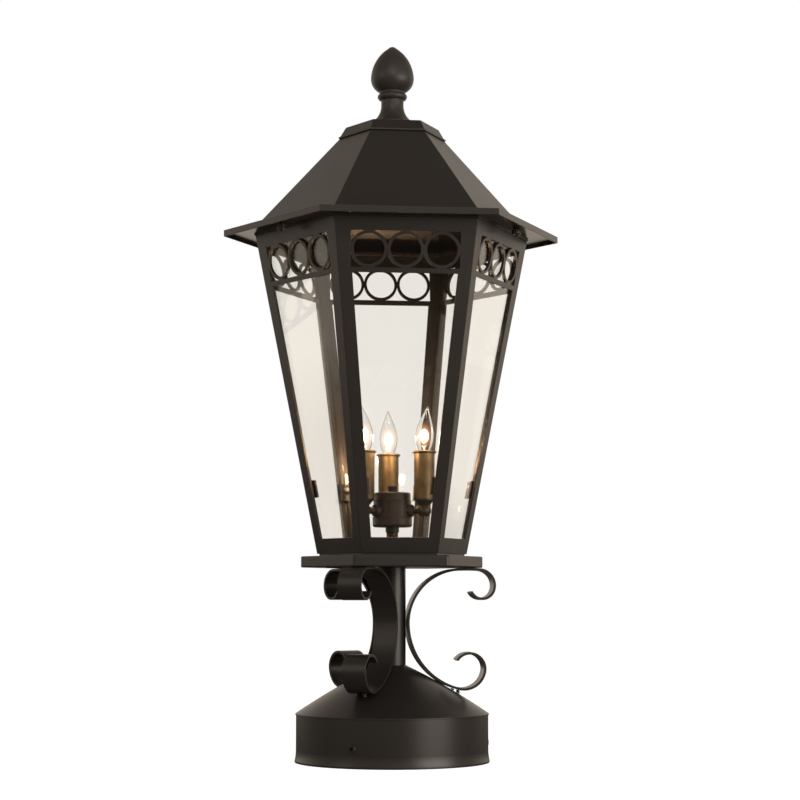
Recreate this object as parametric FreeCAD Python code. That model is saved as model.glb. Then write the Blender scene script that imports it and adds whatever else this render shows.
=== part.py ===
import FreeCAD, Part
import math
import os

# Victorian street lantern on a pier fitter.
# Sizes are in millimetres. The origin is the centre of the fitter's foot, and +Z is up.
# The six corners of the lantern lie at 0, 60, 120 ... degrees, with one corner on +X,
# so one flat side, the front, faces -Y. Scrolls stand under every other corner, and
# candles and roof screws stand behind every other side.

HEX_HALF = 30.0
CORNER_ANGLES = [60 * k for k in range(6)]
SIDE_ANGLES = {
    "back_right": 30,
    "back": 90,
    "back_left": 150,
    "front_left": 210,
    "front": 270,
    "front_right": 330,
}
SCROLL_ANGLES = {"right": 0, "back_left": 120, "front_left": 240}
CANDLE_ANGLES = {"back": 90, "front_left": 210, "front_right": 330}

# Clearances
SEAT_GAP = 0.3
THREAD_GAP = 0.05
HOLE_GAP = 0.2
MOVING_GAP = 0.3

# How far a drill runs past the face that it enters or leaves
DRILL_OVERRUN = 2.0

# Pier fitter: a rolled skirt that drops over a pier, closed by a spun cone
FITTER_BORE_R = 120.4
SKIRT_WALL = 3.2
SKIRT_HEIGHT = 60.0
SKIRT_LIP_OUT = 1.5
SKIRT_LIP_HEIGHT = 2.4
SKIRT_LIP_BLEND = 12.0
CONE_SHEET = 2.5
CONE_OVERHANG = 0.8
CONE_EDGE = 1.8
CONE_RISE = 61.5
CONE_BULGE = 2.2
SET_SCREW_R = 5.0
SET_SCREW_HEIGHT = 24.0
SET_SCREW_PROUD = 1.4
SET_SCREW_KEY = 5.0
SET_SCREW_KEY_DEPTH = 3.4
SET_SCREW_CHAMFER = 0.7
SET_SCREW_BACK = 0.3

# Stem
STEM_R = 17.5
STEM_WALL = 2.5
STEM_TAIL = 10.0

# Scrolls: one flat bar, bent from its waist up and down in arcs of (radius, turn in degrees)
BAR_THICK = 3.2
BAR_WIDTH = 31.75
WAIST_GAP = 0.3
UPPER_BENDS = [(69.0, 87.0), (276.0, 5.7), (20.7, 104.4), (15.8, 138.6)]
LOWER_BENDS = [(86.7, 75.9), (27.5, 95.6), (19.7, 155.2)]
FOOT_PIN_R = 2.2
FOOT_PIN_INSETS = [6.2, 13.4]

# Platform: a shallow hexagonal tray with a lid let into it
PLATFORM_MARGIN = 18.5
PLATFORM_HEIGHT = 14.6
PLATFORM_SHEET = 2.5
PLATFORM_CORNER_R = 4.0
PLATFORM_EDGE_R = 1.8

# Cage: six pierced side plates that lean outwards, on a floor plate
FLOOR_THICK = 3.0
FLOOR_INSET = 2.5
CAGE_FOOT_HALF = 84.5
CAGE_HEAD_HALF = 155.6
CAGE_HEIGHT = 414.0
PLATE_THICK = 3.2
FOOT_BAND = 19.3
HEAD_BAND = 17.2
STILE_FOOT = 14.2
STILE_HEAD = 16.9
FRIEZE_STILE = 17.2
RING_COUNT = 3
RING_WIDTH = 3.9
RING_LAP = 0.5
FRIEZE_BAR = 6.4

# Glass and its corner clips
GLASS_THICK = 3.0
GLASS_EDGE_GAP = 3.6
GLASS_HEAD_GAP = 3.0
CLIP_HEIGHT_ABOVE_FLOOR = 84.0
CLIP_THICK = 2.0
CLIP_TALL = 22.0
CLIP_WIDE = 24.0
CLIP_DRILL = 20.0
CLIP_STUD_R = 2.0
CLIP_STUD_PROUD = 4.0
CLIP_NUT_R = 3.7
CLIP_NUT_DEPTH = 6.0

# Brim and roof
BRIM_OVERHANG = 35.9
BRIM_THICK = 3.2
BRIM_EDGE_R = 0.6
BRIM_LANDING = 18.4
ROOF_FOOT_MARGIN = 4.4
ROOF_HEAD_HALF = 60.1
ROOF_HEIGHT = 125.3
ROOF_SHEET = 2.0
ROOF_LANDING = 6.0

# Roof screws
SCREW_R = 2.5
SCREW_HEAD_R = 5.9
SCREW_HEAD_HEIGHT = 5.4
SCREW_DOME = 3.4
SCREW_FLUTES = 12
SCREW_FLUTE_R = 1.0
SCREW_FLUTE_DEPTH = 0.45

# Cap and finial
CAP_LIP_OUT = 1.6
CAP_LIP_HEIGHT = 2.0
CAP_HEAD_HALF = 53.3
CAP_HEIGHT = 15.0
CAP_SHEET = 2.0
ROD_R = 4.0
ROD_IN_FINIAL = 10.0
ROD_TAIL = 12.0
ROD_NUT_FLATS = 13.0
ROD_NUT_HEIGHT = 6.5
ROD_WASHER_R = 10.0
WASHER_THICK = 1.6
FINIAL_FOOT_EDGE = 6.2
FINIAL_COVE_R = 26.4
FINIAL_NECK_R = 14.8
FINIAL_NECK_HEIGHT = 30.5
FINIAL_RING_R = 19.4
FINIAL_RING_HEIGHT = 42.0
FINIAL_GROOVE_R = 17.0
FINIAL_GROOVE_HEIGHT = 48.8
FINIAL_BULB_R = 28.4
FINIAL_BULB_HEIGHT = 68.3
FINIAL_TIP_HEIGHT = 110.2
FINIAL_TIP_R = 5.4

# Light cluster
PIPE_R = 5.1
PIPE_WALL = 1.5
PIPE_TAIL = 12.0
PIPE_NUT_FLATS = 15.0
PIPE_NUT_HEIGHT = 5.0
SLEEVE_R = 7.5
SLEEVE_HEIGHT = 27.4
COLLAR_R = 8.8
COLLAR_HEIGHT = 7.5
CLUSTER_R = 25.6
CLUSTER_TAPER = 1.1
CLUSTER_WALL = 2.0
CLUSTER_CUP_HEIGHT = 12.5
CLUSTER_BARREL_HEIGHT = 21.7
CLUSTER_LID_HEIGHT = 10.6
CLUSTER_KNOB_NECK_R = 5.9
CLUSTER_KNOB_R = 6.8
CLUSTER_KNOB_HEIGHT = 9.0
ARM_LIFT = 8.4
ARM_R = 4.5
ARM_WALL = 1.5
ARM_BITE = 6.6
ARM_BOSS_R = 8.2
ARM_BOSS_OUT = 6.0

# Candles
CANDLE_CIRCLE_R = 45.1
BALL_R = 9.0
BALL_NECK_R = 6.6
FLANGE_R = 13.4
FLANGE_RISE = 15.2
FLANGE_THICK = 2.0
WIRE_WAY_R = 3.2
SOCKET_R = 10.2
SOCKET_HEIGHT = 55.6
SOCKET_DEPTH = 25.0
COVER_R = 13.4
COVER_WALL = 0.9
COVER_HEIGHT = 61.8
COVER_BEAD_R = 1.5
BULB_BASE_R = 5.95
BULB_BASE_HEIGHT = 23.0
BULB_GLASS_R = 12.3
BULB_GLASS_HEIGHT = 64.0
BULB_TIP_BEND = 5.0


def vec(x, y, z):
    return FreeCAD.Vector(x, y, z)


UP = vec(0, 0, 1)
ORIGIN = vec(0, 0, 0)


def tan(degrees):
    return math.tan(math.radians(degrees))


def cos(degrees):
    return math.cos(math.radians(degrees))


def sin(degrees):
    return math.sin(math.radians(degrees))


def turned(shape, angle):
    """A copy of the shape, turned about the lantern's axis."""
    copy = shape.copy()
    copy.rotate(ORIGIN, UP, angle)
    return copy


def moved(shape, x, y, z):
    copy = shape.copy()
    copy.translate(vec(x, y, z))
    return copy


def laid_along_x(shape, start, height):
    """Lay a shape that stands on the origin along +X, with its foot at a start and a height."""
    copy = shape.copy()
    copy.rotate(ORIGIN, vec(0, 1, 0), 90)
    copy.translate(vec(start, 0, height))
    return copy


def group(shapes):
    return Part.makeCompound(list(shapes))


def save(name, shape):
    shape.exportStep("parts/" + name + ".step")


def lathe(start, *moves):
    """Turn a closed profile of (radius, height) points about the axis.
    A move that is a pair of points is an arc, through the first and to the second."""
    edges = []
    here = vec(start[0], 0, start[1])
    for move in moves + (start,):
        is_arc = isinstance(move[0], tuple)
        end = move[1] if is_arc else move
        there = vec(end[0], 0, end[1])
        if is_arc:
            via = vec(move[0][0], 0, move[0][1])
            edges.append(Part.Arc(here, via, there).toShape())
        elif (there - here).Length > 1e-6:
            edges.append(Part.makeLine(here, there))
        here = there
    face = Part.Face(Part.Wire(edges))
    return face.revolve(ORIGIN, UP, 360)


def dome(radius, edge, crown):
    """Middle point of a round dome's profile, from its edge at a radius to its crown."""
    rise = crown - edge
    sphere = (radius**2 + rise**2) / (2 * rise)
    half = math.asin(radius / abs(sphere)) / 2
    return abs(sphere) * math.sin(half), crown - sphere + sphere * math.cos(half)


def tube(outer, inner, bottom, height):
    body = Part.makeCylinder(outer, height, vec(0, 0, bottom))
    bore = Part.makeCylinder(inner, height, vec(0, 0, bottom))
    return body.cut(bore)


def rod(radius, length, start, direction):
    return Part.makeCylinder(radius, length, start, direction)


def hexagon(half, height):
    """Hexagon of the given half width across flats, with a corner on +X."""
    radius = half / cos(HEX_HALF)
    points = [vec(radius * cos(a), radius * sin(a), height) for a in CORNER_ANGLES]
    return Part.makePolygon(points + [points[0]])


def hex_prism(half, bottom, height):
    return Part.Face(hexagon(half, bottom)).extrude(vec(0, 0, height))


def hex_frustum(low_half, low, high_half, high):
    return Part.makeLoft([hexagon(low_half, low), hexagon(high_half, high)], True, True)


def hex_nut(flats, bore, bottom, height):
    return hex_prism(flats / 2, bottom, height).cut(rod(bore, height, vec(0, 0, bottom), UP))


# Heights and leans that follow from the sizes above
SKIRT_R = FITTER_BORE_R + SKIRT_WALL
CONE_FOOT = (SKIRT_R + CONE_OVERHANG, SKIRT_HEIGHT + CONE_EDGE)
CONE_HEAD = (STEM_R, SKIRT_HEIGHT + CONE_RISE + CONE_EDGE)


def cone_circle():
    """Centre and radius of the arc that the cone's outside follows."""
    half_run = (CONE_FOOT[0] - CONE_HEAD[0]) / 2
    half_rise = (CONE_HEAD[1] - CONE_FOOT[1]) / 2
    half_chord = math.hypot(half_run, half_rise)
    radius = (half_chord**2 + CONE_BULGE**2) / (2 * CONE_BULGE)
    drop = radius - CONE_BULGE
    mid_r = (CONE_FOOT[0] + CONE_HEAD[0]) / 2
    mid_z = (CONE_FOOT[1] + CONE_HEAD[1]) / 2
    across, along = half_rise / half_chord, half_run / half_chord
    return mid_r - drop * across, mid_z - drop * along, radius


CONE_R0, CONE_Z0, CONE_RADIUS = cone_circle()


def cone_height(radius):
    """Height of the cone's outside at a distance from the axis."""
    return CONE_Z0 + math.sqrt(CONE_RADIUS**2 - (radius - CONE_R0) ** 2)


WAIST_R = STEM_R + WAIST_GAP + BAR_THICK / 2


def waist_height():
    """The lower bend of a scroll just seats on the cone."""
    bend = LOWER_BENDS[0][0]
    reach = CONE_RADIUS + bend + BAR_THICK / 2 + SEAT_GAP
    across = WAIST_R + bend - CONE_R0
    return CONE_Z0 + math.sqrt(reach**2 - across**2)


WAIST_Z = waist_height()


def bend_arcs(bends, heading, side, offset):
    """The arcs of one half of a scroll as (start, middle, end) points in (radius, height),
    on a line offset from the bar's middle towards the curl's centre."""
    arcs = []
    here = (WAIST_R, WAIST_Z)
    for radius, turn in bends:
        normal = (-sin(heading) * side, cos(heading) * side)
        centre = (here[0] + radius * normal[0], here[1] + radius * normal[1])
        points = []
        for share in (0.0, 0.5, 1.0):
            now = heading + side * turn * share
            out = (sin(now) * side, -cos(now) * side)
            reach = radius - offset
            points.append((centre[0] + reach * out[0], centre[1] + reach * out[1]))
        arcs.append(points)
        heading += side * turn
        normal = (-sin(heading) * side, cos(heading) * side)
        here = (centre[0] - radius * normal[0], centre[1] - radius * normal[1])
    return arcs


def level_point(bends, heading, side):
    """The point of the bar's middle line where it runs level."""
    here = (WAIST_R, WAIST_Z)
    for radius, turn in bends:
        normal = (-sin(heading) * side, cos(heading) * side)
        centre = (here[0] + radius * normal[0], here[1] + radius * normal[1])
        if abs(heading) <= turn:
            return centre[0], centre[1] - side * radius
        heading += side * turn
        normal = (-sin(heading) * side, cos(heading) * side)
        here = (centre[0] - radius * normal[0], centre[1] - radius * normal[1])
    return here


SCROLL_TOP = level_point(UPPER_BENDS, 90, -1)
SCROLL_FOOT = level_point(LOWER_BENDS, -90, 1)
PLATFORM_Z = SCROLL_TOP[1] + BAR_THICK / 2 + SEAT_GAP
FLOOR_Z = PLATFORM_Z + PLATFORM_HEIGHT
CAGE_Z = FLOOR_Z + FLOOR_THICK
CAGE_TOP = CAGE_Z + CAGE_HEIGHT
CAGE_LEAN = math.degrees(math.atan((CAGE_HEAD_HALF - CAGE_FOOT_HALF) / CAGE_HEIGHT))
CAGE_SLOPE = CAGE_HEIGHT / cos(CAGE_LEAN)
PLATFORM_HALF = CAGE_FOOT_HALF + PLATFORM_MARGIN
BRIM_HALF = CAGE_HEAD_HALF + BRIM_OVERHANG
ROOF_FOOT_HALF = CAGE_HEAD_HALF + ROOF_FOOT_MARGIN
SCREW_CIRCLE_R = (CAGE_HEAD_HALF + BRIM_HALF) / 2
ROOF_Z = CAGE_TOP + BRIM_THICK + MOVING_GAP
ROOF_FOOT_Z = ROOF_Z + BRIM_THICK
ROOF_TOP = ROOF_FOOT_Z + ROOF_HEIGHT
ROOF_LEAN = math.degrees(math.atan((ROOF_FOOT_HALF - ROOF_HEAD_HALF) / ROOF_HEIGHT))
CAP_TOP = ROOF_TOP + CAP_HEIGHT


def ring_pitch():
    """Spacing of the frieze rings, which fill the width between the stiles at mid height."""
    head = CAGE_FOOT_HALF + (CAGE_SLOPE - HEAD_BAND) * sin(CAGE_LEAN)
    half_width = head * tan(HEX_HALF) - FRIEZE_STILE
    return 2 * half_width / (RING_COUNT + sin(CAGE_LEAN) * tan(HEX_HALF))


RING_PITCH = ring_pitch()
RING_R = (RING_PITCH + RING_LAP) / 2
CLUSTER_Z = CAGE_Z + SLEEVE_HEIGHT + COLLAR_HEIGHT
BARREL_Z = CLUSTER_Z + CLUSTER_CUP_HEIGHT
LID_Z = BARREL_Z + CLUSTER_BARREL_HEIGHT
KNOB_Z = LID_Z + CLUSTER_LID_HEIGHT
ARM_Z = BARREL_Z + ARM_LIFT
CANDLE_Z = ARM_Z + FLANGE_RISE
SOCKET_TOP = CANDLE_Z + SOCKET_HEIGHT
COVER_TOP = CANDLE_Z + COVER_HEIGHT


def base_skirt():
    """A rolled ring that flares a little at its foot, drilled for the set screws."""
    lip_r = SKIRT_R + SKIRT_LIP_OUT
    blend_z = SKIRT_LIP_HEIGHT + SKIRT_LIP_BLEND
    flare = (SKIRT_R + SKIRT_LIP_OUT / 4, SKIRT_LIP_HEIGHT + SKIRT_LIP_BLEND / 2)
    edge = SKIRT_LIP_OUT / 3
    body = lathe(
        (FITTER_BORE_R, 0),
        (lip_r - edge, 0),
        ((lip_r - edge * 0.3, edge * 0.3), (lip_r, edge)),
        (lip_r, SKIRT_LIP_HEIGHT),
        (flare, (SKIRT_R, blend_z)),
        (SKIRT_R, SKIRT_HEIGHT),
        (FITTER_BORE_R, SKIRT_HEIGHT),
    )
    for angle in SCROLL_ANGLES.values():
        start = vec(FITTER_BORE_R - DRILL_OVERRUN, 0, SET_SCREW_HEIGHT)
        depth = SKIRT_WALL + 2 * DRILL_OVERRUN
        hole = rod(SET_SCREW_R + THREAD_GAP, depth, start, vec(1, 0, 0))
        body = body.cut(turned(hole, angle))
    return body


def set_screw():
    """A socket set screw, from just behind the bore to a little proud of the skirt."""
    start = FITTER_BORE_R + SET_SCREW_BACK
    end = SKIRT_R + SET_SCREW_PROUD
    length = end - start
    rim = SET_SCREW_R - SET_SCREW_CHAMFER
    body = lathe(
        (0, 0),
        (SET_SCREW_R, 0),
        (SET_SCREW_R, length - SET_SCREW_CHAMFER),
        (rim, length),
        (0, length),
    )
    key = hex_prism(SET_SCREW_KEY / 2, 0, SET_SCREW_KEY_DEPTH)
    key = laid_along_x(key, end - SET_SCREW_KEY_DEPTH, SET_SCREW_HEIGHT)
    return laid_along_x(body, start, SET_SCREW_HEIGHT).cut(key)


def cone_profile_middle(radius_change):
    """Middle point of the cone's arc, drawn on a circle of another radius."""
    mid_r = (CONE_FOOT[0] + CONE_HEAD[0]) / 2
    mid_z = (CONE_FOOT[1] + CONE_HEAD[1]) / 2
    angle = math.atan2(mid_z - CONE_Z0, mid_r - CONE_R0)
    reach = CONE_RADIUS + radius_change
    return CONE_R0 + reach * math.cos(angle), CONE_Z0 + reach * math.sin(angle)


def base_cone():
    hole = STEM_R + HOLE_GAP
    inside = CONE_RADIUS - CONE_SHEET
    rim_in = SKIRT_R - SKIRT_WALL
    inner_z = CONE_Z0 + math.sqrt(inside**2 - (rim_in - CONE_R0) ** 2)
    hole_in_z = CONE_Z0 + math.sqrt(inside**2 - (hole - CONE_R0) ** 2)
    return lathe(
        (rim_in, SKIRT_HEIGHT),
        (CONE_FOOT[0], SKIRT_HEIGHT),
        CONE_FOOT,
        (cone_profile_middle(0), (hole, cone_height(hole))),
        (hole, hole_in_z),
        (cone_profile_middle(-CONE_SHEET), (rim_in, inner_z)),
    )


def stem_tube():
    bottom = CONE_HEAD[1] - STEM_TAIL
    return tube(STEM_R, STEM_R - STEM_WALL, bottom, PLATFORM_Z - bottom)


def as_point(pair):
    return vec(pair[0], BAR_WIDTH / 2, pair[1])


def arc_edges(arcs, backwards=False):
    ordered = [arc[::-1] for arc in arcs[::-1]] if backwards else arcs
    return [Part.Arc(*[as_point(p) for p in arc]).toShape() for arc in ordered]


def scroll():
    """A C-scroll in the plane of +X, bent from one flat bar."""
    half = BAR_THICK / 2
    up_in = bend_arcs(UPPER_BENDS, 90, -1, half)
    up_out = bend_arcs(UPPER_BENDS, 90, -1, -half)
    low_in = bend_arcs(LOWER_BENDS, -90, 1, half)
    low_out = bend_arcs(LOWER_BENDS, -90, 1, -half)
    foot_end = Part.makeLine(as_point(low_in[-1][-1]), as_point(low_out[-1][-1]))
    head_end = Part.makeLine(as_point(up_out[-1][-1]), as_point(up_in[-1][-1]))
    edges = arc_edges(up_in, True) + arc_edges(low_in) + [foot_end]
    edges += arc_edges(low_out, True) + arc_edges(up_out) + [head_end]
    return Part.Face(Part.Wire(edges)).extrude(vec(0, -BAR_WIDTH, 0))


def scroll_foot_pin(inset):
    """A short pin that holds a scroll's lowest bend off the cone, trimmed to fit both."""
    radius = SCROLL_FOOT[0] - inset
    lowest = cone_height(radius + FOOT_PIN_R)
    reach = LOWER_BENDS[1][0] / 2
    pin = rod(FOOT_PIN_R, SCROLL_FOOT[1] + reach / 2 - lowest, vec(radius, 0, lowest), UP)
    lifted = moved(base_cone_solid(), 0, 0, SEAT_GAP)
    return pin.cut(lifted).cut(scroll_band(reach, -BAR_THICK / 2 - SEAT_GAP))


def scroll_band(inner, outer):
    """The lower bends of a scroll as a band between two offsets from the bar's middle."""
    inside = bend_arcs(LOWER_BENDS[:2], -90, 1, inner)
    outside = bend_arcs(LOWER_BENDS[:2], -90, 1, outer)
    tip = Part.makeLine(as_point(inside[-1][-1]), as_point(outside[-1][-1]))
    root = Part.makeLine(as_point(outside[0][0]), as_point(inside[0][0]))
    edges = arc_edges(inside) + [tip] + arc_edges(outside, True) + [root]
    return Part.Face(Part.Wire(edges)).extrude(vec(0, -BAR_WIDTH, 0))


def scroll_foot_pins():
    pins = [scroll_foot_pin(inset) for inset in FOOT_PIN_INSETS]
    return group(turned(pin, a) for a in SCROLL_ANGLES.values() for pin in pins)


def base_cone_solid():
    """The cone filled in, to trim what stands on it."""
    return lathe(
        (0, 0),
        (CONE_FOOT[0], 0),
        CONE_FOOT,
        (cone_profile_middle(0), CONE_HEAD),
        (0, CONE_HEAD[1]),
    )


def platform_block(half, bottom, height):
    """A hexagonal block with rounded upright corners."""
    block = hex_prism(half, bottom, height)
    upright = [e for e in block.Edges if abs(e.BoundBox.ZLength - height) < 1e-6]
    return block.makeFillet(PLATFORM_CORNER_R, upright)


def rounded_rims(block, radius):
    """Round the edges around the foot and the head of an upright block."""
    level = [e for e in block.Edges if e.BoundBox.ZLength < 1e-6]
    return block.makeFillet(radius, level)


def platform_tray():
    tray = platform_block(PLATFORM_HALF, PLATFORM_Z, PLATFORM_HEIGHT)
    tray = rounded_rims(tray, PLATFORM_EDGE_R)
    inner = PLATFORM_HALF - PLATFORM_SHEET
    floor = PLATFORM_Z + PLATFORM_SHEET
    tray = tray.cut(platform_block(inner, floor, PLATFORM_HEIGHT))
    return tray.cut(rod(PIPE_R + HOLE_GAP, PLATFORM_HEIGHT, vec(0, 0, PLATFORM_Z), UP))


def platform_lid():
    half = PLATFORM_HALF - PLATFORM_SHEET - SEAT_GAP
    bottom = FLOOR_Z - PLATFORM_SHEET
    lid = platform_block(half, bottom, PLATFORM_SHEET)
    return lid.cut(rod(PIPE_R + HOLE_GAP, PLATFORM_SHEET, vec(0, 0, bottom), UP))


def cage_floor():
    floor = hex_prism(CAGE_FOOT_HALF - FLOOR_INSET, FLOOR_Z, FLOOR_THICK)
    return floor.cut(rod(PIPE_R + HOLE_GAP, FLOOR_THICK, vec(0, 0, FLOOR_Z), UP))


def cage_half(height, offset=0.0):
    """Half width of the cage at a height, measured on a skin offset inwards from its outside."""
    outside = CAGE_FOOT_HALF + (height - CAGE_Z) * tan(CAGE_LEAN)
    return outside - offset / cos(CAGE_LEAN)


def leaning_slab(offset, thick, bottom, top, edge_gap):
    """One side's slab, mitred at the corners, on the side that faces +X."""
    wires = []
    for height in (bottom, top):
        outer = cage_half(height, offset)
        inner = cage_half(height, offset + thick)
        outer_w = outer * tan(HEX_HALF) - edge_gap
        inner_w = inner * tan(HEX_HALF) - edge_gap
        points = [
            vec(outer, -outer_w, height),
            vec(outer, outer_w, height),
            vec(inner, inner_w, height),
            vec(inner, -inner_w, height),
        ]
        wires.append(Part.makePolygon(points + [points[0]]))
    return Part.makeLoft(wires, True, True)


def on_side(shape):
    """Place a shape drawn flat in XY, with Y up the slope, on the side that faces +X."""
    run, rise = sin(CAGE_LEAN), cos(CAGE_LEAN)
    matrix = FreeCAD.Matrix(
        0, run, rise, CAGE_FOOT_HALF,
        1, 0, 0, 0,
        0, rise, -run, CAGE_Z,
        0, 0, 0, 1,
    )
    placed = shape.copy()
    placed.Placement = FreeCAD.Placement(matrix).multiply(placed.Placement)
    return placed


def cutter(face):
    """A flat face made into a cutter that runs through a side plate."""
    depth = 4 * PLATE_THICK
    solid = face.extrude(vec(0, 0, depth))
    solid.translate(vec(0, 0, -depth / 2))
    return on_side(solid)


def side_half_width(slope):
    return (CAGE_FOOT_HALF + slope * sin(CAGE_LEAN)) * tan(HEX_HALF)


def window_face():
    low = FOOT_BAND
    high = CAGE_SLOPE - HEAD_BAND - RING_PITCH - FRIEZE_BAR
    low_w = side_half_width(low) - STILE_FOOT
    high_w = side_half_width(high) - STILE_HEAD
    points = [vec(-low_w, low, 0), vec(low_w, low, 0), vec(high_w, high, 0), vec(-high_w, high, 0)]
    return Part.Face(Part.makePolygon(points + [points[0]]))


def ring_centres():
    middle = CAGE_SLOPE - HEAD_BAND - RING_PITCH / 2
    first = -RING_PITCH * (RING_COUNT - 1) / 2
    return [(first + RING_PITCH * k, middle) for k in range(RING_COUNT)]


def frieze_faces():
    """What is cut away in the frieze: the spandrels between the rings, and the rings' holes."""
    bottom = CAGE_SLOPE - HEAD_BAND - RING_PITCH
    width = RING_PITCH * RING_COUNT
    field = Part.makePlane(width, RING_PITCH, vec(-width / 2, bottom, 0))
    holes = []
    for x, y in ring_centres():
        disc = Part.Face(Part.Wire(Part.makeCircle(RING_R, vec(x, y, 0))))
        field = field.cut(disc)
        hole = Part.makeCircle(RING_R - RING_WIDTH, vec(x, y, 0))
        holes.append(Part.Face(Part.Wire(hole)))
    return field.Faces + holes


def side_plate():
    plate = leaning_slab(0, PLATE_THICK, CAGE_Z, CAGE_TOP, 0)
    plate = plate.cut(cutter(window_face()))
    for face in frieze_faces():
        plate = plate.cut(cutter(face))
    return plate


GLASS_OFFSET = PLATE_THICK + SEAT_GAP
CLIP_OFFSET = GLASS_OFFSET + GLASS_THICK + SEAT_GAP
CLIP_Z = CAGE_Z + CLIP_HEIGHT_ABOVE_FLOOR
EDGE_LEAN = math.degrees(math.atan(tan(CAGE_LEAN) / cos(HEX_HALF)))
INWARD = vec(-cos(EDGE_LEAN), 0, sin(EDGE_LEAN))


def glass_pane():
    bottom = CAGE_Z + SEAT_GAP
    top = CAGE_TOP - GLASS_HEAD_GAP
    return leaning_slab(GLASS_OFFSET, GLASS_THICK, bottom, top, GLASS_EDGE_GAP)


def cage_core(offset):
    """The cage's inside near the clips, on a skin offset inwards."""
    low, high = CLIP_Z - CLIP_TALL, CLIP_Z + CLIP_TALL
    return hex_frustum(cage_half(low, offset), low, cage_half(high, offset), high)


def skin_depth(offset):
    """How deep an offset skin lies inside the cage's corner, square to the corner's edge."""
    return offset / cos(CAGE_LEAN) / cos(HEX_HALF) * cos(EDGE_LEAN)


def corner_point(offset, depth):
    """A point on the clip's axis in the corner on +X: on an offset skin, then a depth further in."""
    outside = vec(cage_half(CLIP_Z) / cos(HEX_HALF), 0, CLIP_Z)
    return outside + INWARD * (skin_depth(offset) + depth)


def glass_clip():
    """A bent clip that spans the corner between two panes."""
    skin = cage_core(CLIP_OFFSET).cut(cage_core(CLIP_OFFSET + CLIP_THICK))
    window = Part.makeBox(CAGE_HEAD_HALF, CLIP_WIDE, CLIP_TALL)
    window.translate(vec(1, -CLIP_WIDE / 2, CLIP_Z - CLIP_TALL / 2))
    start = corner_point(CLIP_OFFSET, -CLIP_DRILL / 2)
    hole = rod(CLIP_STUD_R + HOLE_GAP, CLIP_DRILL, start, INWARD)
    return skin.common(window).cut(hole)


def clip_nut_start():
    """Depth, inside the clip's inner bend, at which a round nut's rim meets the two legs."""
    return CLIP_NUT_R * tan(HEX_HALF) + SEAT_GAP


def clip_stud_length():
    across = skin_depth(CLIP_OFFSET + CLIP_THICK) - skin_depth(PLATE_THICK)
    return across + clip_nut_start() + CLIP_STUD_PROUD


def clip_stud():
    seat = CLIP_STUD_R * tan(HEX_HALF)
    start = corner_point(PLATE_THICK, seat)
    return rod(CLIP_STUD_R, clip_stud_length() - seat, start, INWARD)


def clip_nut():
    """An acorn nut on the stud."""
    start = clip_nut_start()
    point = corner_point(CLIP_OFFSET + CLIP_THICK, start)
    barrel = CLIP_NUT_DEPTH - CLIP_NUT_R * 0.6
    crown = dome(CLIP_NUT_R, barrel, CLIP_NUT_DEPTH)
    bore = CLIP_STUD_R + THREAD_GAP
    deep = CLIP_STUD_PROUD + 0.4
    nut = lathe(
        (bore, 0),
        (CLIP_NUT_R, 0),
        (CLIP_NUT_R, barrel),
        (crown, (0, CLIP_NUT_DEPTH)),
        (0, deep),
        (bore, deep),
    )
    nut.rotate(ORIGIN, vec(0, 1, 0), EDGE_LEAN - 90)
    return moved(nut, *point)


def brim_plate(bottom):
    return rounded_rims(hex_prism(BRIM_HALF, bottom, BRIM_THICK), BRIM_EDGE_R)


def brim_ring():
    """The plate on top of the cage."""
    opening = CAGE_HEAD_HALF - PLATE_THICK - GLASS_THICK - BRIM_LANDING
    ring = brim_plate(CAGE_TOP)
    ring = ring.cut(hex_prism(opening, CAGE_TOP, BRIM_THICK))
    return ring.cut(screw_holes(CAGE_TOP, HOLE_GAP))


def screw_holes(bottom, gap):
    holes = []
    for angle in CANDLE_ANGLES.values():
        hole = rod(SCREW_R + gap, BRIM_THICK, vec(SCREW_CIRCLE_R, 0, bottom), UP)
        holes.append(turned(hole, angle))
    return group(holes)


def roof_brim():
    """The roof's own brim plate, which lies on the cage's."""
    opening = ROOF_FOOT_HALF - ROOF_SHEET / cos(ROOF_LEAN) - ROOF_LANDING
    ring = brim_plate(ROOF_Z)
    ring = ring.cut(hex_prism(opening, ROOF_Z, BRIM_THICK))
    return ring.cut(screw_holes(ROOF_Z, THREAD_GAP))


def roof_screw():
    """A thumb screw that comes up through the cage's brim into the roof's."""
    seat = CAGE_TOP - MOVING_GAP
    edge = seat - SCREW_HEAD_HEIGHT
    screw = lathe(
        (0, edge - SCREW_DOME),
        (dome(SCREW_HEAD_R, edge, edge - SCREW_DOME), (SCREW_HEAD_R, edge)),
        (SCREW_HEAD_R, seat),
        (SCREW_R, seat),
        (SCREW_R, ROOF_FOOT_Z - THREAD_GAP),
        (0, ROOF_FOOT_Z - THREAD_GAP),
    )
    away = SCREW_HEAD_R + SCREW_FLUTE_R - SCREW_FLUTE_DEPTH
    height = SCREW_HEAD_HEIGHT + SCREW_DOME
    flute = rod(SCREW_FLUTE_R, height, vec(away, 0, seat - height), UP)
    return screw.cut(group(turned(flute, 360 * k / SCREW_FLUTES) for k in range(SCREW_FLUTES)))


def roof_shell():
    wall = ROOF_SHEET / cos(ROOF_LEAN)
    outer = hex_frustum(ROOF_FOOT_HALF, ROOF_FOOT_Z, ROOF_HEAD_HALF, ROOF_TOP)
    inner_top = ROOF_TOP - ROOF_SHEET
    inner_top_half = ROOF_HEAD_HALF + ROOF_SHEET * tan(ROOF_LEAN) - wall
    inner = hex_frustum(ROOF_FOOT_HALF - wall, ROOF_FOOT_Z, inner_top_half, inner_top)
    hole = rod(ROD_R + HOLE_GAP, 3 * ROOF_SHEET, vec(0, 0, inner_top - ROOF_SHEET), UP)
    return outer.cut(inner).cut(hole)


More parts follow.
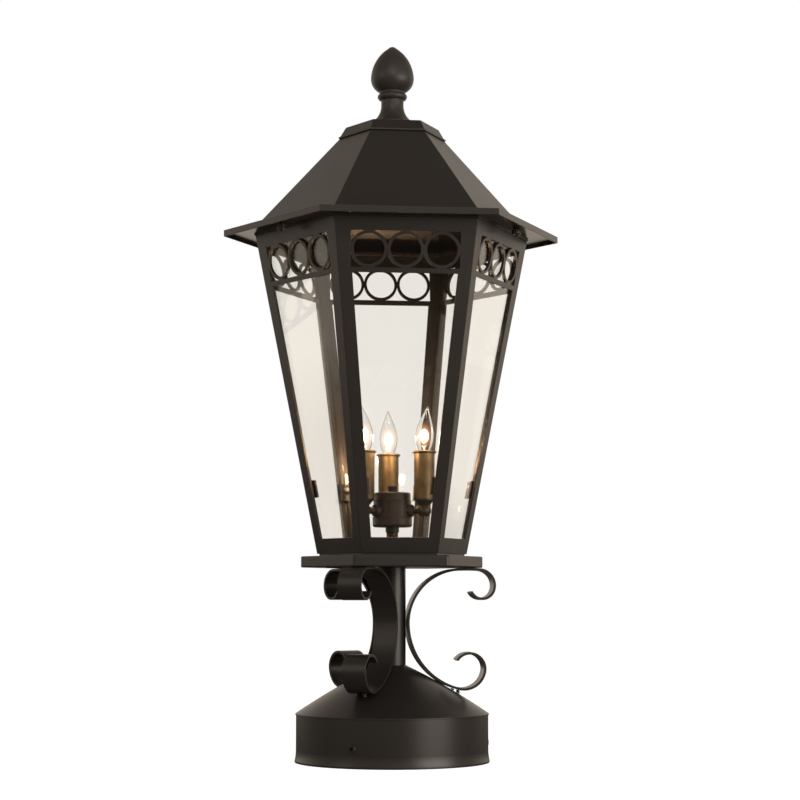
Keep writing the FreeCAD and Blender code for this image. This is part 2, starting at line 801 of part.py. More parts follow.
def roof_cap():
    foot_half = ROOF_HEAD_HALF + CAP_LIP_OUT
    lip_top = ROOF_TOP + CAP_LIP_HEIGHT
    lean = math.degrees(math.atan((ROOF_HEAD_HALF - CAP_HEAD_HALF) / (CAP_TOP - lip_top)))
    wall = CAP_SHEET / cos(lean)
    outer = hex_prism(foot_half, ROOF_TOP, CAP_LIP_HEIGHT)
    outer = outer.fuse(hex_frustum(ROOF_HEAD_HALF, lip_top, CAP_HEAD_HALF, CAP_TOP))
    ceiling = CAP_TOP - CAP_SHEET
    foot_in = ROOF_HEAD_HALF + CAP_LIP_HEIGHT * tan(lean) - wall
    head_in = CAP_HEAD_HALF + CAP_SHEET * tan(lean) - wall
    inner = hex_frustum(foot_in, ROOF_TOP, head_in, ceiling)
    hole = rod(ROD_R + HOLE_GAP, 3 * CAP_SHEET, vec(0, 0, ceiling - CAP_SHEET), UP)
    return outer.cut(inner).cut(hole).removeSplitter()


def finial_cove(share):
    """A point on the hollow curve between the finial's neck and its foot, from 0 at the neck."""
    drop = FINIAL_NECK_HEIGHT - FINIAL_FOOT_EDGE
    angle = share * math.degrees(math.asin(drop / FINIAL_COVE_R))
    away = FINIAL_NECK_R + FINIAL_COVE_R * (1 - cos(angle))
    return away, FINIAL_NECK_HEIGHT - FINIAL_COVE_R * sin(angle)


def finial():
    """A turned acorn finial, bored for the rod."""
    z = CAP_TOP + MOVING_GAP
    bore = ROD_R + THREAD_GAP
    ring_foot = FINIAL_NECK_HEIGHT + 0.63 * (FINIAL_RING_HEIGHT - FINIAL_NECK_HEIGHT)
    ring_head = FINIAL_RING_HEIGHT + 0.65 * (FINIAL_GROOVE_HEIGHT - FINIAL_RING_HEIGHT)
    shoulder = FINIAL_BULB_HEIGHT + 0.5 * (FINIAL_TIP_HEIGHT - FINIAL_BULB_HEIGHT)
    tip = z + FINIAL_TIP_HEIGHT
    tip_edge = tip - 0.45 * FINIAL_TIP_R
    foot_r = finial_cove(1.0)[0]
    waist = finial_cove(0.5)
    return lathe(
        (bore, z),
        (foot_r, z),
        (foot_r, z + FINIAL_FOOT_EDGE),
        ((waist[0], z + waist[1]), (FINIAL_NECK_R, z + FINIAL_NECK_HEIGHT)),
        (FINIAL_NECK_R, z + ring_foot),
        ((FINIAL_RING_R, z + FINIAL_RING_HEIGHT), (FINIAL_GROOVE_R, z + ring_head)),
        (FINIAL_GROOVE_R, z + FINIAL_GROOVE_HEIGHT),
        (
            (0.88 * FINIAL_BULB_R, z + 0.65 * FINIAL_GROOVE_HEIGHT + 0.35 * FINIAL_BULB_HEIGHT),
            (FINIAL_BULB_R, z + FINIAL_BULB_HEIGHT),
        ),
        ((0.79 * FINIAL_BULB_R, z + shoulder), (FINIAL_TIP_R, tip_edge)),
        (dome(FINIAL_TIP_R, tip_edge, tip), (0, tip)),
        (0, z + ROD_IN_FINIAL + 1),
        (bore, z + ROD_IN_FINIAL + 1),
    )


ROD_WASHER_Z = ROOF_TOP - ROOF_SHEET - WASHER_THICK
ROD_NUT_Z = ROD_WASHER_Z - ROD_NUT_HEIGHT


def finial_rod():
    bottom = ROD_NUT_Z - ROD_TAIL
    return rod(ROD_R, CAP_TOP + ROD_IN_FINIAL - bottom, vec(0, 0, bottom), UP)


def rod_washer():
    return tube(ROD_WASHER_R, ROD_R + HOLE_GAP, ROD_WASHER_Z, WASHER_THICK)


def rod_nut():
    return hex_nut(ROD_NUT_FLATS, ROD_R + THREAD_GAP, ROD_NUT_Z, ROD_NUT_HEIGHT)


PIPE_NUT_Z = PLATFORM_Z - PIPE_NUT_HEIGHT


def cluster_pipe():
    """The threaded pipe that ties the light cluster to the platform."""
    bottom = PIPE_NUT_Z - PIPE_TAIL
    return tube(PIPE_R, PIPE_R - PIPE_WALL, bottom, KNOB_Z + CLUSTER_KNOB_HEIGHT / 2 - bottom)


def pipe_nut():
    return hex_nut(PIPE_NUT_FLATS, PIPE_R + THREAD_GAP, PIPE_NUT_Z, PIPE_NUT_HEIGHT)


def cluster_sleeve():
    return tube(SLEEVE_R, PIPE_R + HOLE_GAP, CAGE_Z, SLEEVE_HEIGHT)


def cluster_collar():
    bottom = CAGE_Z + SLEEVE_HEIGHT
    bore = PIPE_R + HOLE_GAP
    chamfer = COLLAR_HEIGHT / 5
    return lathe(
        (bore, bottom),
        (COLLAR_R - chamfer, bottom),
        (COLLAR_R, bottom + chamfer),
        (COLLAR_R, bottom + COLLAR_HEIGHT),
        (bore, bottom + COLLAR_HEIGHT),
    )


def cluster_cup():
    """The lower bowl of the cluster body."""
    bore = PIPE_R + HOLE_GAP
    top = CLUSTER_Z + CLUSTER_CUP_HEIGHT
    round_r = CLUSTER_CUP_HEIGHT / 4
    inner = CLUSTER_R - CLUSTER_WALL
    return lathe(
        (bore, CLUSTER_Z),
        (CLUSTER_R - round_r, CLUSTER_Z),
        ((CLUSTER_R - 0.3 * round_r, CLUSTER_Z + 0.3 * round_r), (CLUSTER_R, CLUSTER_Z + round_r)),
        (CLUSTER_R, top),
        (inner, top),
        (inner, CLUSTER_Z + CLUSTER_WALL),
        (bore, CLUSTER_Z + CLUSTER_WALL),
    )


def cluster_barrel():
    """The middle of the cluster body, with a hole for each arm."""
    outer = CLUSTER_R - CLUSTER_TAPER
    barrel = tube(outer, outer - CLUSTER_WALL, BARREL_Z, CLUSTER_BARREL_HEIGHT)
    for angle in CANDLE_ANGLES.values():
        hole = rod(ARM_R + THREAD_GAP, CLUSTER_R, vec(CLUSTER_R / 2, 0, ARM_Z), vec(1, 0, 0))
        barrel = barrel.cut(turned(hole, angle))
    return barrel


def cluster_lid():
    """The upper bowl of the cluster body, upside down."""
    bore = PIPE_R + HOLE_GAP
    outer = CLUSTER_R - 1.6 * CLUSTER_TAPER
    inner = outer - CLUSTER_WALL
    top = LID_Z + CLUSTER_LID_HEIGHT
    ceiling = top - CLUSTER_WALL
    round_r = CLUSTER_LID_HEIGHT / 4
    return lathe(
        (bore, ceiling),
        (inner, ceiling),
        (inner, LID_Z),
        (outer, LID_Z),
        (outer, top - round_r),
        ((outer - 0.3 * round_r, top - 0.3 * round_r), (outer - round_r, top)),
        (bore, top),
    )


def cluster_knob():
    """The turned nut on top of the cluster."""
    bore = PIPE_R + THREAD_GAP
    top = KNOB_Z + CLUSTER_KNOB_HEIGHT
    neck = KNOB_Z + CLUSTER_KNOB_HEIGHT * 0.45
    hollow = KNOB_Z + CLUSTER_KNOB_HEIGHT / 2 + 0.5
    edge = CLUSTER_KNOB_R - CLUSTER_KNOB_NECK_R
    return lathe(
        (bore, KNOB_Z),
        (CLUSTER_KNOB_NECK_R, KNOB_Z),
        (CLUSTER_KNOB_NECK_R, neck),
        (CLUSTER_KNOB_R, neck + edge),
        (CLUSTER_KNOB_R, top - edge),
        (CLUSTER_KNOB_NECK_R, top),
        (0, top),
        (0, hollow),
        (bore, hollow),
    )


def candle_arm():
    """The arm between the cluster body and a candle's ball, along +X. A round boss on it seats
    on the barrel."""
    barrel_r = CLUSTER_R - CLUSTER_TAPER
    start = barrel_r - 2 * CLUSTER_WALL
    end = CANDLE_CIRCLE_R - BALL_R + ARM_BITE
    seat = rod(barrel_r + SEAT_GAP, 4 * ARM_BOSS_R, vec(0, 0, ARM_Z - 2 * ARM_BOSS_R), UP)
    outer = rod(ARM_R, end - start, vec(start, 0, ARM_Z), vec(1, 0, 0)).fuse(arm_boss(start).cut(seat))
    return outer.cut(rod(ARM_R - ARM_WALL, end - start, vec(start, 0, ARM_Z), vec(1, 0, 0)))


def arm_boss(start):
    """The arm's boss, with a rounded nose, before it is hollowed to fit the barrel."""
    root = CLUSTER_WALL
    face = 2 * CLUSTER_WALL + ARM_BOSS_OUT
    blend = ARM_BOSS_R - ARM_R
    shoulder = face - blend
    nose = (ARM_R + blend * cos(45), shoulder + blend * sin(45))
    boss = lathe(
        (0, root),
        (ARM_BOSS_R, root),
        (ARM_BOSS_R, shoulder),
        (nose, (ARM_R, face)),
        (0, face),
    )
    return laid_along_x(boss, start, ARM_Z)


def candle_cup():
    """The turned ball and flange that a candle stands on, at the lantern's axis."""
    flange = CANDLE_Z - FLANGE_THICK
    foot_r = BALL_R / 2
    foot = ARM_Z - math.sqrt(BALL_R**2 - foot_r**2)
    neck = ARM_Z + math.sqrt(BALL_R**2 - BALL_NECK_R**2)
    cup = lathe(
        (WIRE_WAY_R, foot),
        (foot_r, foot),
        ((BALL_R, ARM_Z), (BALL_NECK_R, neck)),
        (FLANGE_R - 1, flange),
        (FLANGE_R, flange),
        (FLANGE_R, CANDLE_Z),
        (WIRE_WAY_R, CANDLE_Z),
    )
    depth = ARM_BITE + SEAT_GAP
    start = vec(-BALL_R - DRILL_OVERRUN, 0, ARM_Z)
    hole = rod(ARM_R + HOLE_GAP, DRILL_OVERRUN + depth, start, vec(1, 0, 0))
    return cup.cut(hole)


def bulb_socket():
    floor = SOCKET_TOP - SOCKET_DEPTH
    bore = BULB_BASE_R + THREAD_GAP
    return lathe(
        (WIRE_WAY_R, CANDLE_Z),
        (SOCKET_R, CANDLE_Z),
        (SOCKET_R, SOCKET_TOP),
        (bore, SOCKET_TOP),
        (bore, floor),
        (WIRE_WAY_R, floor),
    )


def candle_cover():
    """A thin metal candle sleeve with a rolled rim."""
    inner = COVER_R - COVER_WALL
    bead_z = COVER_TOP - COVER_BEAD_R
    return lathe(
        (inner, CANDLE_Z),
        (COVER_R, CANDLE_Z),
        (COVER_R, bead_z - COVER_BEAD_R),
        ((COVER_R + 1.5 * COVER_BEAD_R, bead_z), (COVER_R, COVER_TOP)),
        (inner, COVER_TOP),
    )


def flame_bulb():
    """A bent-tip flame bulb with its screw base, one sealed piece."""
    base_top = SOCKET_TOP + MOVING_GAP
    base_z = base_top - BULB_BASE_HEIGHT
    base = rod(BULB_BASE_R, BULB_BASE_HEIGHT, vec(0, 0, base_z), UP)
    sections = [(0, 0.5, 0), (0.12, 0.62, 0), (0.38, 1.0, 0), (0.54, 0.9, 0.12), (0.7, 0.66, 0.34)]
    sections += [(0.84, 0.37, 0.6), (0.94, 0.17, 0.86), (1.0, 0.06, 1.0)]
    circles = []
    for rise, share, bend in sections:
        centre = vec(bend * BULB_TIP_BEND, 0, base_top + rise * BULB_GLASS_HEIGHT)
        circles.append(Part.Wire(Part.makeCircle(share * BULB_GLASS_R, centre)))
    glass = Part.makeLoft(circles, True, False)
    return base.fuse(glass)


def at_candle(shape, angle):
    """Move a piece from the lantern's axis to a candle's place."""
    return turned(moved(shape, CANDLE_CIRCLE_R, 0, 0), angle)


def build_base():
    save("base_skirt", base_skirt())
    save("base_cone", base_cone())
    save("set_screws", group(turned(set_screw(), a) for a in SCROLL_ANGLES.values()))
    save("stem_tube", stem_tube())
    for name, angle in SCROLL_ANGLES.items():
        save("scroll_" + name, turned(scroll(), angle))
    save("scroll_foot_pins", scroll_foot_pins())
    save("platform_tray", platform_tray())
    save("platform_lid", platform_lid())


def build_cage():
    save("cage_floor", cage_floor())
    plate = side_plate()
    pane = glass_pane()
    for name, angle in SIDE_ANGLES.items():
        save("side_plate_" + name, turned(plate, angle))
        save("glass_" + name, turned(pane, angle))
    for name, piece in (("clips", glass_clip()), ("clip_studs", clip_stud()), ("clip_nuts", clip_nut())):
        save("glass_" + name, group(turned(piece, a) for a in CORNER_ANGLES))
    save("cage_brim", brim_ring())


def build_roof():
    save("roof_brim", roof_brim())
    save("roof_shell", roof_shell())
    save("roof_cap", roof_cap())
    save("finial", finial())
    save("finial_rod", finial_rod())
    save("finial_rod_washer", rod_washer())
    save("finial_rod_nut", rod_nut())
    for name, angle in CANDLE_ANGLES.items():
        save("roof_screw_" + name, turned(moved(roof_screw(), SCREW_CIRCLE_R, 0, 0), angle))


def build_lights():
    save("cluster_pipe", cluster_pipe())
    save("cluster_pipe_nut", pipe_nut())
    save("cluster_sleeve", cluster_sleeve())
    save("cluster_collar", cluster_collar())
    save("cluster_cup", cluster_cup())
    save("cluster_barrel", cluster_barrel())
    save("cluster_lid", cluster_lid())
    save("cluster_knob", cluster_knob())
    for name, angle in CANDLE_ANGLES.items():
        save("candle_arm_" + name, turned(candle_arm(), angle))
        save("candle_cup_" + name, at_candle(candle_cup(), angle))
        save("bulb_socket_" + name, at_candle(bulb_socket(), angle))
        save("candle_cover_" + name, at_candle(candle_cover(), angle))
        save("bulb_" + name, at_candle(flame_bulb(), angle))


os.makedirs("parts", exist_ok=True)
build_base()
build_cage()
build_roof()
build_lights()
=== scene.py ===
# %% [markdown]
# A hexagonal street lantern that stands on a pier: powder coated steel plates, clear panes and three lit
# candle bulbs. The steelwork is loaded as it was built, and this lesson gives it its finishes. It then
# models what the steelwork only stands in for: the blown glass of the lamps, with filament, wires and screw
# shell, the fine beads of the lamp cluster, and the folded edge of the roof's brim. Sizes on the lantern are
# in millimetres, and those of the studio round it are in metres.

# %% The steelwork
import math

import bmesh
import bpy
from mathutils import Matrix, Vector


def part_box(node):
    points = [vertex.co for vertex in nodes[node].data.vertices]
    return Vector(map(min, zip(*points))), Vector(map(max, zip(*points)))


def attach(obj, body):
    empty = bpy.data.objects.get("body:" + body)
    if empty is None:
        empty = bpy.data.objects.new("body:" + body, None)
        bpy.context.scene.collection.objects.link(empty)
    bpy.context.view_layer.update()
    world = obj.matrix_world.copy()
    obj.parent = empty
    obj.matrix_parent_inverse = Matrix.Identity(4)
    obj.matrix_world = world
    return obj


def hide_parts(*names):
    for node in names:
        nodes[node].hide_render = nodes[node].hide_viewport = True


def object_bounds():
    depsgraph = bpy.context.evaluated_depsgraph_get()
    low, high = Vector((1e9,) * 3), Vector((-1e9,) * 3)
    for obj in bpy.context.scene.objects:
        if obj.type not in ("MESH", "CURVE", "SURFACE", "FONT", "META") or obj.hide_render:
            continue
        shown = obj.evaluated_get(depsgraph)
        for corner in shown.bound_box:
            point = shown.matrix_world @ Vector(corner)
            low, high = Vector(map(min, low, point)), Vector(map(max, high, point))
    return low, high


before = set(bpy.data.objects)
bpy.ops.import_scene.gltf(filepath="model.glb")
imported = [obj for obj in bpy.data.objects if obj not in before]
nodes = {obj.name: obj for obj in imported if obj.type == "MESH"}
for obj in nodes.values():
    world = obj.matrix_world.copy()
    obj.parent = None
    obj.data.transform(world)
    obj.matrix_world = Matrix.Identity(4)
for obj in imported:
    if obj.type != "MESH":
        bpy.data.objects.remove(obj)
cad_low, cad_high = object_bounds()
print("pieces of steelwork:", len(nodes))
print("height in metres:", round(cad_high.z - cad_low.z, 4))

# %% [markdown]
# The camera stands about 2.6 m away, a little to the left of the front side, and low, at the height of the
# scrolls. It looks up slightly, so the brim shows its underside. The lens is a long one, so that the far
# corners of the lantern are hardly smaller than the near ones.

# %% Camera
CAMERA_DISTANCE = 2.634
CAMERA_HEIGHT = 0.2125
CAMERA_SIDE_DEG = -6.456
CAMERA_TILT_DEG = 5.508
CAMERA_TURN_DEG = 0.22
CAMERA_LENS_MM = 91.18
CAMERA_SENSOR_MM = 36.0

camera_data = bpy.data.cameras.new("camera")
camera_data.lens = CAMERA_LENS_MM
camera_data.sensor_width = CAMERA_SENSOR_MM
camera = bpy.data.objects.new("camera", camera_data)
bpy.context.scene.collection.objects.link(camera)
side = math.radians(CAMERA_SIDE_DEG)
camera.location = (CAMERA_DISTANCE * math.sin(side), -CAMERA_DISTANCE * math.cos(side), CAMERA_HEIGHT)
tilt = math.radians(90 + CAMERA_TILT_DEG)
heading = math.radians(CAMERA_SIDE_DEG - CAMERA_TURN_DEG)
camera.rotation_euler = (tilt, 0.0, heading)
bpy.context.scene.camera = camera
bpy.context.scene.view_settings.view_transform = "Standard"
print("camera at", [round(v, 3) for v in camera.location])

# %% [markdown]
# Colours are picked as they look on a screen, as hex values, but shaders count in linear light, so one
# function turns a hex value into linear numbers. Another adds a node, with its settings and its links, which
# keeps each material below short enough to read. A Mix node has its sockets once for each kind of value, all
# under the same names, so those for colours are reached by their places, which are named here.

# %% Colour and node helpers
MM = 0.001
MIX_COLOUR_A = 6
MIX_COLOUR_B = 7
MIX_COLOUR_OUT = 2
WHITE = "ffffff"


def linear(hex_colour):
    """A screen colour such as "a07850" as linear red, green, blue and alpha, by the sRGB rule."""
    shares = [int(hex_colour[i : i + 2], 16) / 255 for i in (0, 2, 4)]
    return [s / 12.92 if s <= 0.04045 else ((s + 0.055) / 1.055) ** 2.4 for s in shares] + [1.0]


def add(tree, kind, links=None, **settings):
    """Add a node. Settings are attributes or the names of inputs, and links join inputs to outputs."""
    node = tree.nodes.new("ShaderNode" + kind)
    for name, value in settings.items():
        if hasattr(node, name):
            setattr(node, name, value)
        else:
            node.inputs[name.replace("_", " ")].default_value = value
    for name, output in (links or {}).items():
        tree.links.new(output, node.inputs[name])
    return node


def new_material(name):
    """An empty material, its node tree and its output node."""
    material = bpy.data.materials.new(name)
    material.use_nodes = True
    tree = material.node_tree
    tree.nodes.clear()
    return material, tree, tree.nodes.new("ShaderNodeOutputMaterial")


print("bronze brown in linear light:", [round(v, 4) for v in linear("2e2824")[:3]])

# %% [markdown]
# The lantern is steel sheet with a thick powder coat, a plastic paint that is baked on. It is a brown so
# dark that it reads as black, with a satin gloss. Baked powder never lies quite flat: it has an orange peel
# of waves about two millimetres long, and it draws thin at sharp edges, which it also rounds, so each edge
# catches a thin line of light. A Bevel node rounds the edges in the shading, and noise makes the orange
# peel. A finer noise stands for the grit of the powder, and is drawn coarser than the real grit so that it
# shows. A broad slow noise varies the gloss a little, as handling does. The brims are wide and level and are
# sprayed lying down, so on them the powder flows out smoother. The iron finial keeps some of its sand
# texture.

# %% Powder coat
ORANGE_PEEL_MM = 2.2
PEEL_DEPTH_MM = 0.05
GRIT_MM = 0.7
GRIT_DEPTH_MM = 0.02
CLOUD_MM = 90.0
EDGE_ROUND_MM = 0.7
EDGE_SAMPLES = 4
THIN_COAT = 1.12
THICK_COAT = 0.9
PAINT_IOR = 1.5
BRONZE_FLAKE = "fff8f0"


def powder_coat(name, colour, roughness, peel, edge_mm=EDGE_ROUND_MM):
    """Paint whose roughness varies between two values, with orange peel of a given strength."""
    material, tree, output = new_material(name)
    place = add(tree, "TexCoord").outputs["Object"]
    cloud = add(tree, "TexNoise", {"Vector": place}, Scale=1 / (CLOUD_MM * MM), Detail=3.0)
    peel_noise = add(tree, "TexNoise", {"Vector": place}, Scale=1 / (ORANGE_PEEL_MM * MM), Detail=1.0)
    grit = add(tree, "TexNoise", {"Vector": place}, Scale=1 / (GRIT_MM * MM), Detail=0.0)
    edge = add(tree, "Bevel", samples=EDGE_SAMPLES, Radius=edge_mm * MM)
    waves = add(
        tree, "Bump", {"Height": peel_noise.outputs["Fac"], "Normal": edge.outputs[0]},
        Strength=peel, Distance=PEEL_DEPTH_MM * MM,
    )
    bump = add(
        tree, "Bump", {"Height": grit.outputs["Fac"], "Normal": waves.outputs[0]},
        Strength=peel, Distance=GRIT_DEPTH_MM * MM,
    )
    gloss = add(
        tree, "MapRange", {"Value": cloud.outputs["Fac"]},
        From_Min=0.0, From_Max=1.0, To_Min=roughness[0], To_Max=roughness[1],
    )
    tone = add(tree, "Mix", {"Factor": cloud.outputs["Fac"]}, data_type="RGBA")
    for socket, share in ((MIX_COLOUR_A, THICK_COAT), (MIX_COLOUR_B, THIN_COAT)):
        tone.inputs[socket].default_value = [v * share for v in linear(colour)[:3]] + [1.0]
    skin = add(
        tree, "BsdfPrincipled",
        {
            "Base Color": tone.outputs[MIX_COLOUR_OUT],
            "Roughness": gloss.outputs["Result"],
            "Normal": bump.outputs[0],
        },
        IOR=PAINT_IOR, Specular_Tint=linear(BRONZE_FLAKE),
    )
    tree.links.new(skin.outputs[0], output.inputs["Surface"])
    return material


BODY_COAT = powder_coat("satin_powder_coat_bronze_black", "25211e", (0.3, 0.38), peel=0.3)
BRIM_COAT = powder_coat("powder_coat_on_flat_brim", "25211e", (0.2, 0.26), peel=0.03)
CAST_COAT = powder_coat("powder_coat_on_iron_casting", "312c28", (0.4, 0.5), peel=0.6)
CLUSTER_COAT = powder_coat("powder_coat_on_lamp_cluster", "30261d", (0.3, 0.4), peel=0.15, edge_mm=0.3)
SCREW_COAT = powder_coat("powder_coat_on_screws", "26221f", (0.26, 0.36), peel=0.15, edge_mm=0.2)
print("powder coats made")

# %% [markdown]
# The panes are clear float glass, 3 mm thick. They show by their reflections alone, and by a faint warm grey
# over the white behind them. Glass in a renderer blocks the light that lamps send through it, so for shadows
# and for scattered light it is made transparent, and the lamps then reach the inside as they do in the real
# lantern. The blown glass of the lamps is made by the same function, without the grey.

# %% Float glass
GLASS_IOR = 1.5


def clear_glass(name, tint):
    """Glass for what looks at it, and an open way for shadows and scattered light."""
    material, tree, output = new_material(name)
    glass = add(
        tree, "BsdfPrincipled",
        Base_Color=linear(tint), Roughness=0.0, IOR=GLASS_IOR, Transmission_Weight=1.0,
    )
    open_way = add(tree, "BsdfTransparent", Color=linear(tint))
    path = add(tree, "LightPath")
    lets_light_by = add(
        tree, "Math", {0: path.outputs["Is Shadow Ray"], 1: path.outputs["Is Diffuse Ray"]},
        operation="MAXIMUM",
    )
    blend = add(
        tree, "MixShader",
        {0: lets_light_by.outputs[0], 1: glass.outputs[0], 2: open_way.outputs[0]},
    )
    tree.links.new(blend.outputs[0], output.inputs["Surface"])
    return material


PANE_GLASS = clear_glass("clear_float_glass", "fcfaf6")
LAMP_GLASS = clear_glass("blown_lamp_glass", WHITE)
print("glasses made")

# %% [markdown]
# The candle sleeves are brass tube that has been darkened to an antique brown. Tube is drawn through a die,
# so it has fine streaks along its length, which here run up the candle. They are drawn wider than the real
# ones, so that they show. Near its top, towards the lamp, the sleeve is painted a lighter brass, a painted
# highlight for the lamp's light that falls there, and below it the brown is painted darker. The screw shells
# of the lamps are the same metal left bright, which the same function makes, and the same band of heights
# falls on them too.

# %% Brass
STREAK_MM = 1.2
STREAK_SQUASH = 0.04
STREAK_DEPTH_MM = 0.03
PATINA_MM = 14.0
# Heights and shares of the painted highlight: lighter brass near the top of a sleeve, darker below it.
PAINTED_HIGHLIGHT_FROM_MM = 372.0
PAINTED_HIGHLIGHT_TO_MM = 397.0
SHARE_BELOW_PAINTED_HIGHLIGHT = -0.2
PAINTED_HIGHLIGHT_SHARE = 0.15
NOISE_LOW = 0.3
NOISE_HIGH = 0.7


def drawn_brass(name, dark, light, roughness):
    """Drawn tube, between a dark and a light brass, with streaks that vary its roughness."""
    material, tree, output = new_material(name)
    place = add(tree, "TexCoord").outputs["Object"]
    drawn = add(tree, "Mapping", {"Vector": place}, Scale=(1.0, 1.0, STREAK_SQUASH))
    streaks = add(tree, "TexNoise", {"Vector": drawn.outputs[0]}, Scale=1 / (STREAK_MM * MM), Detail=2.0)
    patina = add(tree, "TexNoise", {"Vector": place}, Scale=1 / (PATINA_MM * MM), Detail=3.0)
    height = add(tree, "SeparateXYZ", {0: place}).outputs["Z"]
    # Painted highlight: the colour turns lighter towards the top, near the lamp, for the lamp's light there.
    painted_top_highlight = add(
        tree, "MapRange", {"Value": height}, interpolation_type="SMOOTHSTEP",
        From_Min=PAINTED_HIGHLIGHT_FROM_MM * MM, From_Max=PAINTED_HIGHLIGHT_TO_MM * MM,
        To_Min=SHARE_BELOW_PAINTED_HIGHLIGHT, To_Max=PAINTED_HIGHLIGHT_SHARE,
    )
    share = add(
        tree, "Math", {0: patina.outputs["Fac"], 1: painted_top_highlight.outputs["Result"]},
        operation="ADD", use_clamp=True,
    )
    tone = add(tree, "Mix", {"Factor": share.outputs[0]}, data_type="RGBA")
    tone.inputs[MIX_COLOUR_A].default_value = linear(dark)
    tone.inputs[MIX_COLOUR_B].default_value = linear(light)
    gloss = add(
        tree, "MapRange", {"Value": streaks.outputs["Fac"]},
        From_Min=NOISE_LOW, From_Max=NOISE_HIGH, To_Min=roughness[0], To_Max=roughness[1],
    )
    bump = add(tree, "Bump", {"Height": streaks.outputs["Fac"]}, Strength=0.3, Distance=STREAK_DEPTH_MM * MM)
    skin = add(
        tree, "BsdfPrincipled",
        {
            "Base Color": tone.outputs[MIX_COLOUR_OUT],
            "Roughness": gloss.outputs["Result"],
            "Normal": bump.outputs[0],
        },
        Metallic=1.0,
    )
    tree.links.new(skin.outputs[0], output.inputs["Surface"])
    return material


SLEEVE_BRASS = drawn_brass("antique_brass_tube", "4e4231", "94805f", (0.36, 0.52))
SHELL_BRASS = drawn_brass("bright_brass_shell", "b08d57", "c9a66b", (0.2, 0.3))
print("brass made")

# %% [markdown]
# Nuts, washers, studs and rods inside the lantern are plain steel with a thin coat of zinc. It is a soft
# grey that is a little uneven, which a pattern of small cells in the colour and the gloss suggests. The
# clips that hold the panes are zinc plated too, but blackened in a bath after it, so that they don't show
# beside the dark plates.

# %% Zinc plate
SPANGLE_MM = 2.5
ZINC_ROUGHNESS = (0.4, 0.55)


def zinc_plate(name, dark, light):
    """Plated steel, mottled between two tones of one grey."""
    material, tree, output = new_material(name)
    place = add(tree, "TexCoord").outputs["Object"]
    spangle = add(tree, "TexVoronoi", {"Vector": place}, Scale=1 / (SPANGLE_MM * MM))
    tone = add(tree, "Mix", {"Factor": spangle.outputs["Distance"]}, data_type="RGBA")
    tone.inputs[MIX_COLOUR_A].default_value = linear(dark)
    tone.inputs[MIX_COLOUR_B].default_value = linear(light)
    gloss = add(
        tree, "MapRange", {"Value": spangle.outputs["Distance"]},
        To_Min=ZINC_ROUGHNESS[0], To_Max=ZINC_ROUGHNESS[1],
    )
    skin = add(
        tree, "BsdfPrincipled",
        {"Base Color": tone.outputs[MIX_COLOUR_OUT], "Roughness": gloss.outputs["Result"]},
        Metallic=1.0,
    )
    tree.links.new(skin.outputs[0], output.inputs["Surface"])
    return material


ZINC = zinc_plate("zinc_plated_steel", "b0aea9", "cbc9c3")
BLACK_ZINC = zinc_plate("black_zinc_plated_steel", "55524d", "625e58")
print("zinc plates made")

# %% [markdown]
# The lamp holders, and the ring of insulation at the foot of each lamp, are phenolic, a hard black plastic
# that is moulded under heat. Its skin is smooth with a faint grain.

# %% Phenolic
GRAIN_MM = 1.5
GRAIN_DEPTH_MM = 0.05
PHENOLIC_ROUGHNESS = (0.4, 0.6)
PHENOLIC_BLACK = "1d1b1a"


def phenolic():
    """Moulded black plastic with a faint grain."""
    material, tree, output = new_material("moulded_phenolic")
    place = add(tree, "TexCoord").outputs["Object"]
    grain = add(tree, "TexNoise", {"Vector": place}, Scale=1 / (GRAIN_MM * MM), Detail=2.0)
    bump = add(tree, "Bump", {"Height": grain.outputs["Fac"]}, Strength=0.2, Distance=GRAIN_DEPTH_MM * MM)
    gloss = add(
        tree, "MapRange", {"Value": grain.outputs["Fac"]},
        To_Min=PHENOLIC_ROUGHNESS[0], To_Max=PHENOLIC_ROUGHNESS[1],
    )
    skin = add(
        tree, "BsdfPrincipled",
        {"Roughness": gloss.outputs["Result"], "Normal": bump.outputs[0]},
        Base_Color=linear(PHENOLIC_BLACK),
    )
    tree.links.new(skin.outputs[0], output.inputs["Surface"])
    return material


HOLDER_PLASTIC = phenolic()
print("phenolic made")

# %% [markdown]
# Each piece of the steelwork now gets its finish. Most of it is powder coated, so that is the rule, and a
# short table of name beginnings gives the exceptions. The first beginning that fits is taken, so longer ones
# stand before shorter ones. The solid lamps and brims are replaced further down, so they need no line here.

# %% Finishes on the steelwork
FINISH_BY_NAME = [
    ("glass_clips", BLACK_ZINC),
    ("glass_clip_", ZINC),
    ("glass_", PANE_GLASS),
    ("candle_cover", SLEEVE_BRASS),
    ("bulb_socket", HOLDER_PLASTIC),
    ("candle_", CLUSTER_COAT),
    ("cluster_pipe", ZINC),
    ("cluster_", CLUSTER_COAT),
    ("finial_rod", ZINC),
    ("finial", CAST_COAT),
    ("set_screws", SCREW_COAT),
    ("roof_screw", SCREW_COAT),
]


def finish_for(name):
    """The finish of a piece, by the beginning of its name."""
    for beginning, material in FINISH_BY_NAME:
        if name.startswith(beginning):
            return material
    return BODY_COAT


for name, piece in nodes.items():
    piece.data.materials.clear()
    piece.data.materials.append(finish_for(name))
print("finishes set on", len(nodes), "pieces")

# %% [markdown]
# The bulbs are flame lamps with a bent tip, the most usual ones for a candle fitting. The steelwork only has
# a solid block in each place. A real lamp is a thin blown envelope on a threaded brass shell, and inside it
# a glass stem carries two wires and the filament. All of these are round, so one helper turns them: it adds
# a circle, and extrudes, moves and scales it from one ring to the next, as a hand would in edit mode. Points
# that fall on each other are merged, and the faces are then turned outwards.

# %% Turning by hand
SIDES_OF_A_TURNING = 24
MERGE_MM = 0.001


def select_nothing():
    """Leave edit mode and deselect everything, as an operator acts on all that is selected."""
    if bpy.context.object and bpy.context.object.mode == "EDIT":
        bpy.ops.object.mode_set(mode="OBJECT")
    bpy.ops.object.select_all(action="DESELECT")


